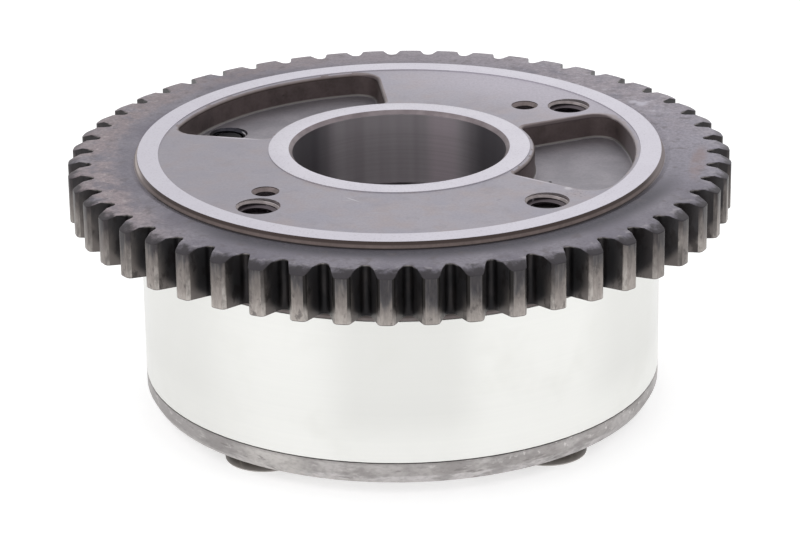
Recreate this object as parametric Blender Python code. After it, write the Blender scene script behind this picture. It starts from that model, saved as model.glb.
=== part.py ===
"""Vane type camshaft phaser driven by a silent chain sprocket.

Lengths are in metres and angles in degrees. +Z runs along the camshaft axis,
from the bolt heads up to the sprocket, and the origin lies on that axis in
the plane of the bolt heads. Angles count counter-clockwise from +X.
"""
import math

import bmesh
import bpy
from mathutils import Matrix, Vector

# Clearances
RUNNING_GAP = 0.0003
FACE_GAP = 0.0002
PRESS_GAP = 0.0002

# Stack along the axis, from the bolt heads up
HEAD_HEIGHT = 0.0018
PLATE_THICKNESS = 0.0034
HOUSING_LENGTH = 0.0224
SHOULDER_LENGTH = 0.0037
TOOTH_WIDTH = 0.0079
BOSS_HEIGHT = 0.0008

# Sprocket teeth
CHAIN_PITCH = 0.00635
TOOTH_DEPTH = 0.0037
VALLEY_RADIUS = 0.0008
FLANK_ANGLE = 23.0
TIP_ROUND = 0.00025
TIP_CHAMFER_WIDTH = 0.0018
TIP_CHAMFER_DROP = 0.00075
FIRST_VALLEY = 4.75

# Sprocket face
GEAR_FACE_WIDTH = 0.0070
LAND_STEP = 0.0001
LAND_WIDTH = 0.0032
BOSS_DRAFT = 0.0005
WEB_RECESS = 0.00015
SHOULDER_STEP = 0.0002
BORE_RADIUS = 0.01645
BORE_CHAMFER = 0.0006
HUB_LAND_WIDTH = 0.0031
POCKET_DEPTH = 0.0040
POCKET_RIM_BEVEL = 0.0006
POCKET_HUB_MARGIN = 0.00075
POCKET_RIM_MARGIN = 0.0008
LEFT_POCKET = (96.0, 166.8)
RIGHT_POCKET = (-35.6, 24.4)
POCKET_HUB_CORNER = 0.0010
POCKET_RIM_CORNER = 0.0034
PIN_HOLE_INSET = 0.0051
PIN_HOLE_ANGLES = (43.0, 223.0)
PIN_HOLE_RADIUS = 0.0016
PIN_HOLE_MOUTH = 0.00045
PIN_HOLE_DEPTH = 0.0070

# Bolts through the stack
BOLT_INSET = 0.0077
BOLT_ANGLES = (33.8, 146.6, 229.9, 311.9)
BOLT_RADIUS = 0.0030
THREAD_DEPTH = 0.0005
TAPPED_MOUTH = 0.0007
BOLT_END_DEPTH = 0.0005
HEAD_RADIUS = 0.0061
HEAD_CHAMFER = 0.0006
SOCKET_MEAN_RADIUS = 0.0024
SOCKET_LOBE = 0.0004
SOCKET_LOBES = 6
SOCKET_DEPTH = 0.0024

# Stator housing and front plate
CHAMBER_DEPTH = 0.0167
HOUSING_WALL = 0.0040
EDGE_CHAMFER = 0.0003
WEB_HALF_ANGLE = 12.0
PLATE_CHAMFER_WIDTH = 0.0008
PLATE_CHAMFER_HEIGHT = 0.0014
PLATE_BORE_MARGIN = 0.0020

# Vane rotor
CAMSHAFT_CLEARANCE = 0.00045
SEAT_RIM_WIDTH = 0.0035
TIP_GAP = 0.0006
TRAVEL = 30.0
STOP_CLEARANCE = 0.9
NARROW_VANE_ANGLE = 23.0
CONVEX_BLEND = 0.0015
CONCAVE_BLEND = 0.0010
SEAT_RECESS = 0.0015
CENTRE_HOLE_RADIUS = 0.0062
COUNTERBORE_RADIUS = 0.0115
COUNTERBORE_DEPTH = 0.0040
DOWEL_RADIUS = 0.0025
DOWEL_DEPTH = 0.0060
DOWEL_ANGLE = 180.0
GROOVE_WIDTH = 0.0024
GROOVE_DEPTH = 0.0010
OIL_HOLE_RADIUS = 0.00125
OIL_PORT_OFFSET = 4.5

# Tip seals with their leaf springs
SEAL_WIDTH = 0.0020
SEAL_HEIGHT = 0.0027
SEAL_FOOT = 0.0008
SEAL_FOOT_LENGTH = 0.0015
SEAL_SLOT_DEPTH = 0.0038
LEAF_THICKNESS = 0.0003

# Lock pin set
LOCK_BORE_WALL = 0.0015
PIN_RADIUS = 0.0035
PIN_SKIRT_RADIUS = 0.0045
PIN_TIP_CHAMFER = 0.0006
PIN_CROWN = 0.0040
PIN_HOLLOW_RADIUS = 0.0026
GUIDE_LENGTH = 0.0080
ENGAGE_STROKE = 0.0040
RETRACT_STROKE = 0.0010
SPRING_SEAT_THICKNESS = 0.0025
SPRING_SEAT_BOSS = 0.0012
SPRING_SEAT_BOSS_HEIGHT = 0.0020
WIRE_RADIUS = 0.0004
COIL_RADIUS = 0.0019
COIL_TURNS = 7
BUSH_WALL = 0.0018
BUSH_LENGTH = 0.0052
BUSH_MOUTH = 0.0005

# Heights that follow from the stack
PLATE_BOTTOM = HEAD_HEIGHT + FACE_GAP
PLATE_TOP = PLATE_BOTTOM + PLATE_THICKNESS
HOUSING_BOTTOM = PLATE_TOP + FACE_GAP
HOUSING_TOP = HOUSING_BOTTOM + HOUSING_LENGTH
SPROCKET_BOTTOM = HOUSING_TOP + FACE_GAP
GEAR_BOTTOM = SPROCKET_BOTTOM + SHOULDER_LENGTH
GEAR_TOP = GEAR_BOTTOM + TOOTH_WIDTH
LAND_TOP = GEAR_TOP + BOSS_HEIGHT
WEB_TOP = LAND_TOP - WEB_RECESS
POCKET_FLOOR = LAND_TOP - POCKET_DEPTH
ROTOR_BOTTOM = PLATE_TOP + RUNNING_GAP
ROTOR_TOP = SPROCKET_BOTTOM - RUNNING_GAP
SPRING_SEAT_TOP = ROTOR_BOTTOM + SPRING_SEAT_THICKNESS
GUIDE_STEP = ROTOR_TOP - GUIDE_LENGTH
PIN_TIP = ROTOR_TOP - RUNNING_GAP
PIN_SKIRT_TOP = GUIDE_STEP - ENGAGE_STROKE
PIN_SKIRT_BOTTOM = SPRING_SEAT_TOP + RUNNING_GAP + RETRACT_STROKE

# Radii that follow from their neighbours, from the camshaft bore outwards
SEAT_RADIUS = BORE_RADIUS - CAMSHAFT_CLEARANCE
ROTOR_HUB_RADIUS = SEAT_RADIUS + SEAT_RIM_WIDTH
WEB_TIP_RADIUS = ROTOR_HUB_RADIUS + TIP_GAP
CHAMBER_RADIUS = ROTOR_HUB_RADIUS + CHAMBER_DEPTH
VANE_TIP_RADIUS = CHAMBER_RADIUS - TIP_GAP
HOUSING_RADIUS = CHAMBER_RADIUS + HOUSING_WALL
SHOULDER_RADIUS = HOUSING_RADIUS - SHOULDER_STEP
HUB_LAND_RADIUS = BORE_RADIUS + BORE_CHAMFER + HUB_LAND_WIDTH
LAND_RADIUS = HOUSING_RADIUS + LAND_STEP
LAND_INNER_RADIUS = LAND_RADIUS - LAND_WIDTH
POCKET_INNER_RADIUS = HUB_LAND_RADIUS + POCKET_HUB_MARGIN
POCKET_OUTER_RADIUS = LAND_INNER_RADIUS - POCKET_RIM_MARGIN
ROOT_RADIUS = LAND_RADIUS + GEAR_FACE_WIDTH
TIP_RADIUS = ROOT_RADIUS + TOOTH_DEPTH
TOOTH_COUNT = round(math.tau * TIP_RADIUS / CHAIN_PITCH)
BOLT_CIRCLE = HOUSING_RADIUS - BOLT_INSET
PIN_HOLE_CIRCLE = BOLT_CIRCLE - PIN_HOLE_INSET
TAPPED_RADIUS = BOLT_RADIUS - THREAD_DEPTH
BOLT_HOLE_RADIUS = BOLT_RADIUS + RUNNING_GAP
PLATE_BORE_RADIUS = COUNTERBORE_RADIUS + PLATE_BORE_MARGIN
DOWEL_CIRCLE = (CENTRE_HOLE_RADIUS + SEAT_RADIUS) / 2.0
SEAL_SLOT_WIDTH = SEAL_WIDTH + 2.0 * RUNNING_GAP
GUIDE_BORE_RADIUS = PIN_RADIUS + RUNNING_GAP
SKIRT_BORE_RADIUS = PIN_SKIRT_RADIUS + RUNNING_GAP
BUSH_RADIUS = GUIDE_BORE_RADIUS + BUSH_WALL
LOCK_CIRCLE = VANE_TIP_RADIUS - SEAL_SLOT_DEPTH - LOCK_BORE_WALL - SKIRT_BORE_RADIUS

# Facets and mesh tolerances
LARGE_SEGMENTS = 96
BORE_SEGMENTS = 72
ROTOR_SEGMENTS = 36
HOLE_SEGMENTS = 20
OIL_HOLE_SEGMENTS = 8
VALLEY_STEPS = 2
SOCKET_LOBE_STEPS = 4
COIL_STEPS = 12
LEAF_STEPS = 8
BLEND_STEPS = 3
ARC_STEP = 5.0
OVERCUT = 0.0020
WELD = 0.000001
SMOOTH_LIMIT = math.radians(30.0)


def clear_scene():
    for item in list(bpy.data.objects):
        bpy.data.objects.remove(item, do_unlink=True)


def make_material(name, colour, metallic, roughness):
    material = bpy.data.materials.new(name)
    material.use_nodes = True
    surface = material.node_tree.nodes["Principled BSDF"]
    surface.inputs["Base Color"].default_value = (*colour, 1.0)
    surface.inputs["Metallic"].default_value = metallic
    surface.inputs["Roughness"].default_value = roughness
    return material


def polar(radius, angle):
    turn = math.radians(angle)
    return Vector((radius * math.cos(turn), radius * math.sin(turn)))


def arc(radius, start, end):
    """Points on a circle about the axis, both ends included."""
    count = max(1, math.ceil(abs(end - start) / ARC_STEP))
    return [polar(radius, start + (end - start) * step / count) for step in range(count + 1)]


def blend_turn(circle, blend, outside):
    """Angle between a radial line and the centre of its blend with a circle."""
    return math.degrees(math.asin(blend / (circle + outside * blend)))


def blend_arc(circle, blend, line, side, outside):
    """Blend from a radial line to a circle about the axis.

    side is +1 where the blend lies counter-clockwise of the line. outside is
    +1 where the blend lies outside the circle and -1 where it lies inside.
    """
    reach = circle + outside * blend
    turn = side * blend_turn(circle, blend, outside)
    centre = polar(reach, line + turn)
    first = polar(math.sqrt(reach * reach - blend * blend), line) - centre
    last = polar(circle, line + turn) - centre
    start = math.atan2(first.y, first.x)
    sweep = math.remainder(math.atan2(last.y, last.x) - start, math.tau)
    points = []
    for step in range(BLEND_STEPS + 1):
        angle = start + sweep * step / BLEND_STEPS
        points.append(centre + Vector((blend * math.cos(angle), blend * math.sin(angle))))
    return points


def sector_outline(inner, outer, start, end, inner_blend, outer_blend):
    """Ring sector between two radial lines, with rounded corners."""
    outer_turn = blend_turn(outer, outer_blend, -1)
    inner_turn = blend_turn(inner, inner_blend, 1)
    outline = blend_arc(outer, outer_blend, start, 1, -1)
    outline += arc(outer, start + outer_turn, end - outer_turn)[1:-1]
    outline += reversed(blend_arc(outer, outer_blend, end, -1, -1))
    outline += blend_arc(inner, inner_blend, end, -1, 1)
    outline += arc(inner, end - inner_turn, start + inner_turn)[1:-1]
    outline += reversed(blend_arc(inner, inner_blend, start, 1, 1))
    return outline


def lobed_outline(base, tip, lobes):
    """Circle with radial lobes, each with a seal slot in the middle of its tip.

    lobes holds (centre angle, half angle) pairs counter-clockwise. The lobes
    stand outwards where the tip radius is the larger one, else inwards.
    """
    outward = 1 if tip > base else -1
    root_blend = CONCAVE_BLEND
    root_turn = blend_turn(base, root_blend, outward)
    tip_turn = blend_turn(tip, CONVEX_BLEND, -outward)
    slot_half = SEAL_SLOT_WIDTH / 2.0
    slot_turn = math.degrees(math.asin(slot_half / tip))
    outline = []
    for index, (centre, half) in enumerate(lobes):
        low = centre - half
        high = centre + half
        outline += reversed(blend_arc(base, root_blend, low, -1, outward))
        outline += blend_arc(tip, CONVEX_BLEND, low, 1, -outward)
        outline += arc(tip, low + tip_turn, centre - slot_turn)[1:]
        along = polar(1.0, centre)
        across = Vector((-along.y, along.x))
        floor = along * (tip - outward * SEAL_SLOT_DEPTH)
        outline += [floor - across * slot_half, floor + across * slot_half]
        outline += arc(tip, centre + slot_turn, high - tip_turn)[:-1]
        outline += reversed(blend_arc(tip, CONVEX_BLEND, high, -1, -outward))
        outline += blend_arc(base, root_blend, high, 1, outward)
        following, following_half = lobes[(index + 1) % len(lobes)]
        gap_end = following - following_half - root_turn
        if index + 1 == len(lobes):
            gap_end += 360.0
        outline += arc(base, high + root_turn, gap_end)[1:-1]
    return outline


def grow_outline(outline, distance):
    """Outline moved outwards by one distance all round."""
    grown = []
    for index, point in enumerate(outline):
        before = (point - outline[index - 1]).normalized()
        after = (outline[(index + 1) % len(outline)] - point).normalized()
        normal = Vector((before.y + after.y, -before.x - after.x))
        grown.append(point + normal * (2.0 * distance / normal.length_squared))
    return grown


def close_shape(shape):
    bmesh.ops.remove_doubles(shape, verts=shape.verts, dist=WELD)
    bmesh.ops.recalc_face_normals(shape, faces=shape.faces)
    return shape


def extrude_outline(outline, low, high):
    """Upright prism over a flat outline."""
    shape = bmesh.new()
    floor = shape.faces.new([shape.verts.new((x, y, low)) for x, y in outline])
    grown = bmesh.ops.extrude_face_region(shape, geom=[floor])
    raised = [item for item in grown["geom"] if isinstance(item, bmesh.types.BMVert)]
    bmesh.ops.translate(shape, verts=raised, vec=(0.0, 0.0, high - low))
    return close_shape(shape)


def extrude_side(outline, width):
    """Bar whose (radius, height) side outline is extruded across the radius."""
    shape = extrude_outline(outline, -width / 2.0, width / 2.0)
    bmesh.ops.rotate(shape, verts=shape.verts, matrix=Matrix.Rotation(math.pi / 2.0, 3, "X"))
    return shape


def stack_outlines(layers):
    """Solid through outlines of equal count, given as (outline, height) pairs."""
    shape = bmesh.new()
    rings = [[shape.verts.new((x, y, height)) for x, y in outline] for outline, height in layers]
    for lower, upper in zip(rings, rings[1:]):
        for index in range(len(lower)):
            shape.faces.new((lower[index - 1], lower[index], upper[index], upper[index - 1]))
    shape.faces.new(list(reversed(rings[0])))
    shape.faces.new(rings[-1])
    return close_shape(shape)


def turn_profile(profile, segments):
    """Solid of revolution about +Z from a closed (radius, height) profile."""
    shape = bmesh.new()
    points = [shape.verts.new((radius, 0.0, height)) for radius, height in profile]
    edges = []
    for first, last in zip(points, points[1:] + points[:1]):
        if first.co.x > WELD or last.co.x > WELD:
            edges.append(shape.edges.new((first, last)))
    bmesh.ops.spin(
        shape,
        geom=points + edges,
        cent=(0.0, 0.0, 0.0),
        axis=(0.0, 0.0, 1.0),
        angle=math.tau,
        steps=segments,
        use_merge=True,
    )
    return close_shape(shape)


def shift(shape, x, y, z=0.0):
    bmesh.ops.translate(shape, verts=shape.verts, vec=(x, y, z))
    return shape


def gather(shapes):
    """One mesh that holds several separate closed shapes."""
    whole = bmesh.new()
    for shape in shapes:
        carrier = bpy.data.meshes.new("carrier")
        shape.to_mesh(carrier)
        shape.free()
        whole.from_mesh(carrier)
        bpy.data.meshes.remove(carrier)
    return whole


def make_piece(name, shape, material, origin=(0.0, 0.0, 0.0), turn=0.0, parent=None):
    """Object with its own mesh. The shape is given around the origin."""
    mesh = bpy.data.meshes.new(name)
    shape.to_mesh(mesh)
    shape.free()
    mesh.shade_smooth()
    mesh.set_sharp_from_angle(angle=SMOOTH_LIMIT)
    mesh.materials.append(material)
    piece = bpy.data.objects.new(name, mesh)
    piece.location = origin
    piece.rotation_euler.z = math.radians(turn)
    piece.parent = parent
    bpy.context.scene.collection.objects.link(piece)
    return piece


def combine(target, shape, name, operation):
    """Join a hidden helper shape to a piece, or cut it out of the piece."""
    helper = make_piece(name, shape, target.data.materials[0])
    helper.hide_render = True
    helper.display_type = "WIRE"
    modifier = target.modifiers.new(name, "BOOLEAN")
    modifier.operation = operation
    modifier.solver = "EXACT"
    modifier.object = helper


def make_axis(name, location):
    axis = bpy.data.objects.new(name, None)
    axis.location = location
    bpy.context.scene.collection.objects.link(axis)
    return axis


def half_valley():
    """One side of a tooth space about +Y, from its root up to the tooth tip.

    Returns the points and the place of the point where the tip chamfer starts.
    """
    centre = Vector((0.0, ROOT_RADIUS + VALLEY_RADIUS))
    points = []
    for step in range(VALLEY_STEPS + 1):
        angle = math.radians((90.0 - FLANK_ANGLE) * step / VALLEY_STEPS)
        points.append(centre + Vector((math.sin(angle), -math.cos(angle))) * VALLEY_RADIUS)
    chamfer_point = len(points)
    start = points[-1]
    flank = Vector((math.sin(math.radians(FLANK_ANGLE)), math.cos(math.radians(FLANK_ANGLE))))
    along = start.dot(flank)

    def reach(radius):
        return start + flank * (math.sqrt(along * along - start.length_squared + radius * radius) - along)

    corner = reach(TIP_RADIUS)
    before = corner - flank * TIP_ROUND
    after = Matrix.Rotation(-TIP_ROUND / TIP_RADIUS, 2) @ corner
    points += [reach(TIP_RADIUS - TIP_CHAMFER_WIDTH), before, (before + corner * 2.0 + after) / 4.0, after]
    return points, chamfer_point


def toothed_blank():
    """Toothed disc whose teeth are chamfered on their upper face."""
    side, chamfer_point = half_valley()
    space = side[:0:-1] + [Vector((-point.x, point.y)) for point in side]
    root_point = len(side) - 1
    inner_first = root_point - chamfer_point
    inner_last = root_point + chamfer_point
    shape = bmesh.new()
    lower = []
    upper = []
    for number in range(TOOTH_COUNT):
        turn = Matrix.Rotation(math.radians(FIRST_VALLEY - 90.0) + math.tau * number / TOOTH_COUNT, 2)
        low_ring = []
        high_ring = []
        for x, y in (turn @ point for point in space):
            past_chamfer = max(0.0, math.hypot(x, y) - (TIP_RADIUS - TIP_CHAMFER_WIDTH))
            drop = past_chamfer * TIP_CHAMFER_DROP / TIP_CHAMFER_WIDTH
            low_ring.append(shape.verts.new((x, y, GEAR_BOTTOM)))
            high_ring.append(shape.verts.new((x, y, GEAR_TOP - drop)))
        lower.append(low_ring)
        upper.append(high_ring)
    low_loop = [vert for ring in lower for vert in ring]
    high_loop = [vert for ring in upper for vert in ring]
    for index in range(len(low_loop)):
        shape.faces.new((low_loop[index - 1], low_loop[index], high_loop[index], high_loop[index - 1]))
    shape.faces.new(list(reversed(low_loop)))
    shape.faces.new([vert for ring in upper for vert in ring[inner_first:inner_last + 1]])
    for number, ring in enumerate(upper):
        following = upper[(number + 1) % TOOTH_COUNT]
        shape.faces.new(ring[inner_last:] + following[:inner_first + 1])
    return close_shape(shape)


def sprocket_core():
    """Turned middle of the sprocket: shoulder, boss, outer land and hub land."""
    boss_base = LAND_RADIUS + BOSS_DRAFT
    mid_gear = GEAR_BOTTOM + TOOTH_WIDTH / 2.0
    return turn_profile(
        [
            (0.0, SPROCKET_BOTTOM),
            (SHOULDER_RADIUS - EDGE_CHAMFER, SPROCKET_BOTTOM),
            (SHOULDER_RADIUS, SPROCKET_BOTTOM + EDGE_CHAMFER),
            (SHOULDER_RADIUS, mid_gear),
            (boss_base, mid_gear),
            (boss_base, GEAR_TOP),
            (LAND_RADIUS, LAND_TOP),
            (LAND_INNER_RADIUS, LAND_TOP),
            (LAND_INNER_RADIUS, WEB_TOP),
            (HUB_LAND_RADIUS, WEB_TOP),
            (HUB_LAND_RADIUS, LAND_TOP),
            (0.0, LAND_TOP),
        ],
        LARGE_SEGMENTS,
    )


def pocket_cutter(start, end):
    """Kidney shaped pocket with a bevelled rim."""
    outline = sector_outline(
        POCKET_INNER_RADIUS, POCKET_OUTER_RADIUS, start, end, POCKET_HUB_CORNER, POCKET_RIM_CORNER
    )
    mouth = grow_outline(outline, POCKET_RIM_BEVEL)
    layers = [
        (outline, POCKET_FLOOR),
        (outline, WEB_TOP - POCKET_RIM_BEVEL),
        (mouth, WEB_TOP),
        (mouth, LAND_TOP + OVERCUT),
    ]
    return stack_outlines(layers)


def face_height(angle):
    """Height of the sprocket's upper face at a bolt: pocket floor or web."""
    for start, end in (LEFT_POCKET, RIGHT_POCKET):
        if start < math.remainder(angle - start, 360.0) + start < end:
            return POCKET_FLOOR
    return WEB_TOP


def hole_cutter(radius, mouth, bottom, face, circle, angle):
    """Straight hole that widens by its mouth chamfer at the face."""
    profile = [
        (0.0, bottom),
        (radius, bottom),
        (radius, face - mouth),
        (radius + mouth, face),
        (radius + mouth, LAND_TOP + OVERCUT),
        (0.0, LAND_TOP + OVERCUT),
    ]
    place = polar(circle, angle)
    return shift(turn_profile(profile, HOLE_SEGMENTS), place.x, place.y)


def bore_cutter():
    low = SPROCKET_BOTTOM - OVERCUT
    flare = BORE_CHAMFER + OVERCUT
    return turn_profile(
        [
            (0.0, low),
            (BORE_RADIUS, low),
            (BORE_RADIUS, LAND_TOP - BORE_CHAMFER),
            (BORE_RADIUS + flare, LAND_TOP + OVERCUT),
            (0.0, LAND_TOP + OVERCUT),
        ],
        BORE_SEGMENTS,
    )


def plain_cutter(radius, low, high, circle, angle):
    place = polar(circle, angle)
    profile = [(0.0, low), (radius, low), (radius, high), (0.0, high)]
    return shift(turn_profile(profile, HOLE_SEGMENTS), place.x, place.y)


def make_sprocket(material, lock_angle):
    sprocket = make_piece("sprocket", toothed_blank(), material)
    combine(sprocket, sprocket_core(), "sprocket_core", "UNION")
    low = SPROCKET_BOTTOM - OVERCUT
    cuts = [bore_cutter(), pocket_cutter(*LEFT_POCKET), pocket_cutter(*RIGHT_POCKET)]
    for angle in PIN_HOLE_ANGLES:
        depth = LAND_TOP - PIN_HOLE_DEPTH
        cuts.append(hole_cutter(PIN_HOLE_RADIUS, PIN_HOLE_MOUTH, depth, WEB_TOP, PIN_HOLE_CIRCLE, angle))
    recess_top = SPROCKET_BOTTOM + BUSH_LENGTH + PRESS_GAP
    cuts.append(plain_cutter(BUSH_RADIUS + PRESS_GAP, low, recess_top, LOCK_CIRCLE, lock_angle))
    combine(sprocket, gather(cuts), "sprocket_cuts", "DIFFERENCE")
    taps = []
    for angle in BOLT_ANGLES:
        taps.append(hole_cutter(TAPPED_RADIUS, TAPPED_MOUTH, low, face_height(angle), BOLT_CIRCLE, angle))
    combine(sprocket, gather(taps), "sprocket_taps", "DIFFERENCE")


def make_bush(material, lock_angle):
    """Hardened ring in the sprocket that receives the lock pin."""
    place = polar(LOCK_CIRCLE, lock_angle)
    bore = GUIDE_BORE_RADIUS
    top = SPROCKET_BOTTOM + BUSH_LENGTH
    profile = [
        (bore + BUSH_MOUTH, SPROCKET_BOTTOM),
        (BUSH_RADIUS, SPROCKET_BOTTOM),
        (BUSH_RADIUS, top),
        (bore, top),
        (bore, SPROCKET_BOTTOM + 2.0 * BUSH_MOUTH),
    ]
    shape = turn_profile(profile, HOLE_SEGMENTS)
    make_piece("lock_pin_bush", shape, material, (place.x, place.y, 0.0))


def web_lobes():
    return [(angle, WEB_HALF_ANGLE) for angle in BOLT_ANGLES]


def vane_lobes():
    """Vane centres and half angles at rest, one in each gap between two webs.

    The vane in the widest gap is the one that meets the stops.
    """
    gaps = []
    for index, angle in enumerate(BOLT_ANGLES):
        following = BOLT_ANGLES[(index + 1) % len(BOLT_ANGLES)]
        span = (following - angle) % 360.0
        gaps.append((angle + span / 2.0, span - 2.0 * WEB_HALF_ANGLE))
    widest = max(width for centre, width in gaps)
    lobes = []
    for centre, width in gaps:
        half = NARROW_VANE_ANGLE / 2.0
        if width == widest:
            half = (width - TRAVEL) / 2.0 - STOP_CLEARANCE
        lobes.append((centre - TRAVEL / 2.0, half))
    return lobes


def make_housing(material):
    """Aluminium ring with four inward webs, bolted through the webs."""
    low = HOUSING_BOTTOM
    high = HOUSING_TOP
    radius = HOUSING_RADIUS
    profile = [
        (0.0, low),
        (radius - EDGE_CHAMFER, low),
        (radius, low + EDGE_CHAMFER),
        (radius, high - EDGE_CHAMFER),
        (radius - EDGE_CHAMFER, high),
        (0.0, high),
    ]
    housing = make_piece("stator_housing", turn_profile(profile, LARGE_SEGMENTS), material)
    chamber = lobed_outline(CHAMBER_RADIUS, WEB_TIP_RADIUS, web_lobes())
    cuts = [extrude_outline(chamber, low - OVERCUT, high + OVERCUT)]
    for angle in BOLT_ANGLES:
        cuts.append(plain_cutter(BOLT_HOLE_RADIUS, low - OVERCUT, high + OVERCUT, BOLT_CIRCLE, angle))
    combine(housing, gather(cuts), "housing_cuts", "DIFFERENCE")


def make_front_plate(material):
    low = PLATE_BOTTOM
    high = PLATE_TOP
    radius = HOUSING_RADIUS
    profile = [
        (PLATE_BORE_RADIUS + EDGE_CHAMFER, low),
        (radius - PLATE_CHAMFER_WIDTH, low),
        (radius, low + PLATE_CHAMFER_HEIGHT),
        (radius, high),
        (PLATE_BORE_RADIUS, high),
        (PLATE_BORE_RADIUS, low + EDGE_CHAMFER),
    ]
    plate = make_piece("front_plate", turn_profile(profile, LARGE_SEGMENTS), material)
    cuts = []
    for angle in BOLT_ANGLES:
        cuts.append(plain_cutter(BOLT_HOLE_RADIUS, low - OVERCUT, high + OVERCUT, BOLT_CIRCLE, angle))
    combine(plate, gather(cuts), "plate_cuts", "DIFFERENCE")


def rotor_centre_cutter():
    """Centre bolt hole with the camshaft seat above and a counterbore below."""
    seat = ROTOR_TOP - SEAT_RECESS
    floor = ROTOR_BOTTOM + COUNTERBORE_DEPTH
    return turn_profile(
        [
            (0.0, ROTOR_BOTTOM - OVERCUT),
            (COUNTERBORE_RADIUS, ROTOR_BOTTOM - OVERCUT),
            (COUNTERBORE_RADIUS, floor),
            (CENTRE_HOLE_RADIUS, floor),
            (CENTRE_HOLE_RADIUS, seat),
            (SEAT_RADIUS, seat),
            (SEAT_RADIUS, ROTOR_TOP + OVERCUT),
            (0.0, ROTOR_TOP + OVERCUT),
        ],
        ROTOR_SEGMENTS,
    )


def lock_bore_cutter(angle):
    """Stepped bore that guides the lock pin and its skirt."""
    place = polar(LOCK_CIRCLE, angle)
    profile = [
        (0.0, ROTOR_BOTTOM - OVERCUT),
        (SKIRT_BORE_RADIUS, ROTOR_BOTTOM - OVERCUT),
        (SKIRT_BORE_RADIUS, GUIDE_STEP),
        (GUIDE_BORE_RADIUS, GUIDE_STEP),
        (GUIDE_BORE_RADIUS, ROTOR_TOP + OVERCUT),
        (0.0, ROTOR_TOP + OVERCUT),
    ]
    return shift(turn_profile(profile, HOLE_SEGMENTS), place.x, place.y)


def groove_cutter(angle):
    """Radial oil groove across the hub's upper face."""
    first = SEAT_RADIUS - OVERCUT
    last = ROTOR_HUB_RADIUS + OVERCUT / 2.0
    outline = [
        (first, ROTOR_TOP - GROOVE_DEPTH),
        (last, ROTOR_TOP - GROOVE_DEPTH),
        (last, ROTOR_TOP + OVERCUT),
        (first, ROTOR_TOP + OVERCUT),
    ]
    shape = extrude_side(outline, GROOVE_WIDTH)
    bmesh.ops.rotate(shape, verts=shape.verts, matrix=Matrix.Rotation(math.radians(angle), 3, "Z"))
    return shape


def oil_hole_cutter(angle):
    """Radial oil hole from the centre hole out to a chamber."""
    length = ROTOR_HUB_RADIUS + OVERCUT / 2.0
    first = CENTRE_HOLE_RADIUS - OVERCUT
    profile = [(0.0, first), (OIL_HOLE_RADIUS, first), (OIL_HOLE_RADIUS, length), (0.0, length)]
    shape = turn_profile(profile, OIL_HOLE_SEGMENTS)
    lay_down = Matrix.Rotation(math.radians(angle), 3, "Z") @ Matrix.Rotation(math.pi / 2.0, 3, "Y")
    bmesh.ops.rotate(shape, verts=shape.verts, matrix=lay_down)
    return shift(shape, 0.0, 0.0, (ROTOR_BOTTOM + ROTOR_TOP) / 2.0)


def make_rotor(material, lobes, lock_angle, axis):
    """Vane rotor: hub with one vane in each chamber."""
    outline = lobed_outline(ROTOR_HUB_RADIUS, VANE_TIP_RADIUS, lobes)
    blank = extrude_outline(outline, ROTOR_BOTTOM, ROTOR_TOP)
    rotor = make_piece("vane_rotor", blank, material, parent=axis)
    seat = ROTOR_TOP - SEAT_RECESS
    combine(rotor, rotor_centre_cutter(), "rotor_centre", "DIFFERENCE")
    cuts = [
        lock_bore_cutter(lock_angle),
        plain_cutter(DOWEL_RADIUS, seat - DOWEL_DEPTH, seat + OVERCUT, DOWEL_CIRCLE, DOWEL_ANGLE),
    ]
    for centre, half in lobes:
        cuts.append(groove_cutter(centre + half + OIL_PORT_OFFSET))
        cuts.append(oil_hole_cutter(centre - half - OIL_PORT_OFFSET))
    combine(rotor, gather(cuts), "rotor_cuts", "DIFFERENCE")


def seal_shape(contact, outward):
    """Seal bar with a foot at each end. contact is the radius of its tip."""
    low = ROTOR_BOTTOM
    high = ROTOR_TOP
    back = contact - outward * SEAL_HEIGHT
    foot = back - outward * SEAL_FOOT
    outline = [
        (contact, low),
        (contact, high),
        (foot, high),
        (foot, high - SEAL_FOOT_LENGTH),
        (back, high - SEAL_FOOT_LENGTH),
        (back, low + SEAL_FOOT_LENGTH),
        (foot, low + SEAL_FOOT_LENGTH),
        (foot, low),
    ]
    return extrude_side(outline, SEAL_WIDTH)


def leaf_shape(contact, slot_floor, outward):
    """Bowed leaf spring between the back of a seal and the floor of its slot."""
    low = ROTOR_BOTTOM + SEAL_FOOT_LENGTH + RUNNING_GAP
    high = ROTOR_TOP - SEAL_FOOT_LENGTH - RUNNING_GAP
    near = contact - outward * (SEAL_HEIGHT + RUNNING_GAP)
    far = slot_floor + outward * (RUNNING_GAP + LEAF_THICKNESS)
    front = []
    back = []
    for step in range(LEAF_STEPS + 1):
        share = step / LEAF_STEPS
        radius = near + (far - near) * math.sin(math.pi * share)
        height = low + (high - low) * share
        front.append((radius, height))
        back.append((radius - outward * LEAF_THICKNESS, height))
    return extrude_side(front + back[::-1], SEAL_WIDTH)


def make_seals(kind, seal_material, leaf_material, angles, contact, slot_floor, outward, parent):
    """One seal and one leaf spring at each angle."""
    for number, angle in enumerate(angles, start=1):
        seal = seal_shape(contact, outward)
        make_piece(f"{kind}_seal_{number}", seal, seal_material, turn=angle, parent=parent)
        leaf = leaf_shape(contact, slot_floor, outward)
        make_piece(f"{kind}_seal_spring_{number}", leaf, leaf_material, turn=angle, parent=parent)


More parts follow.
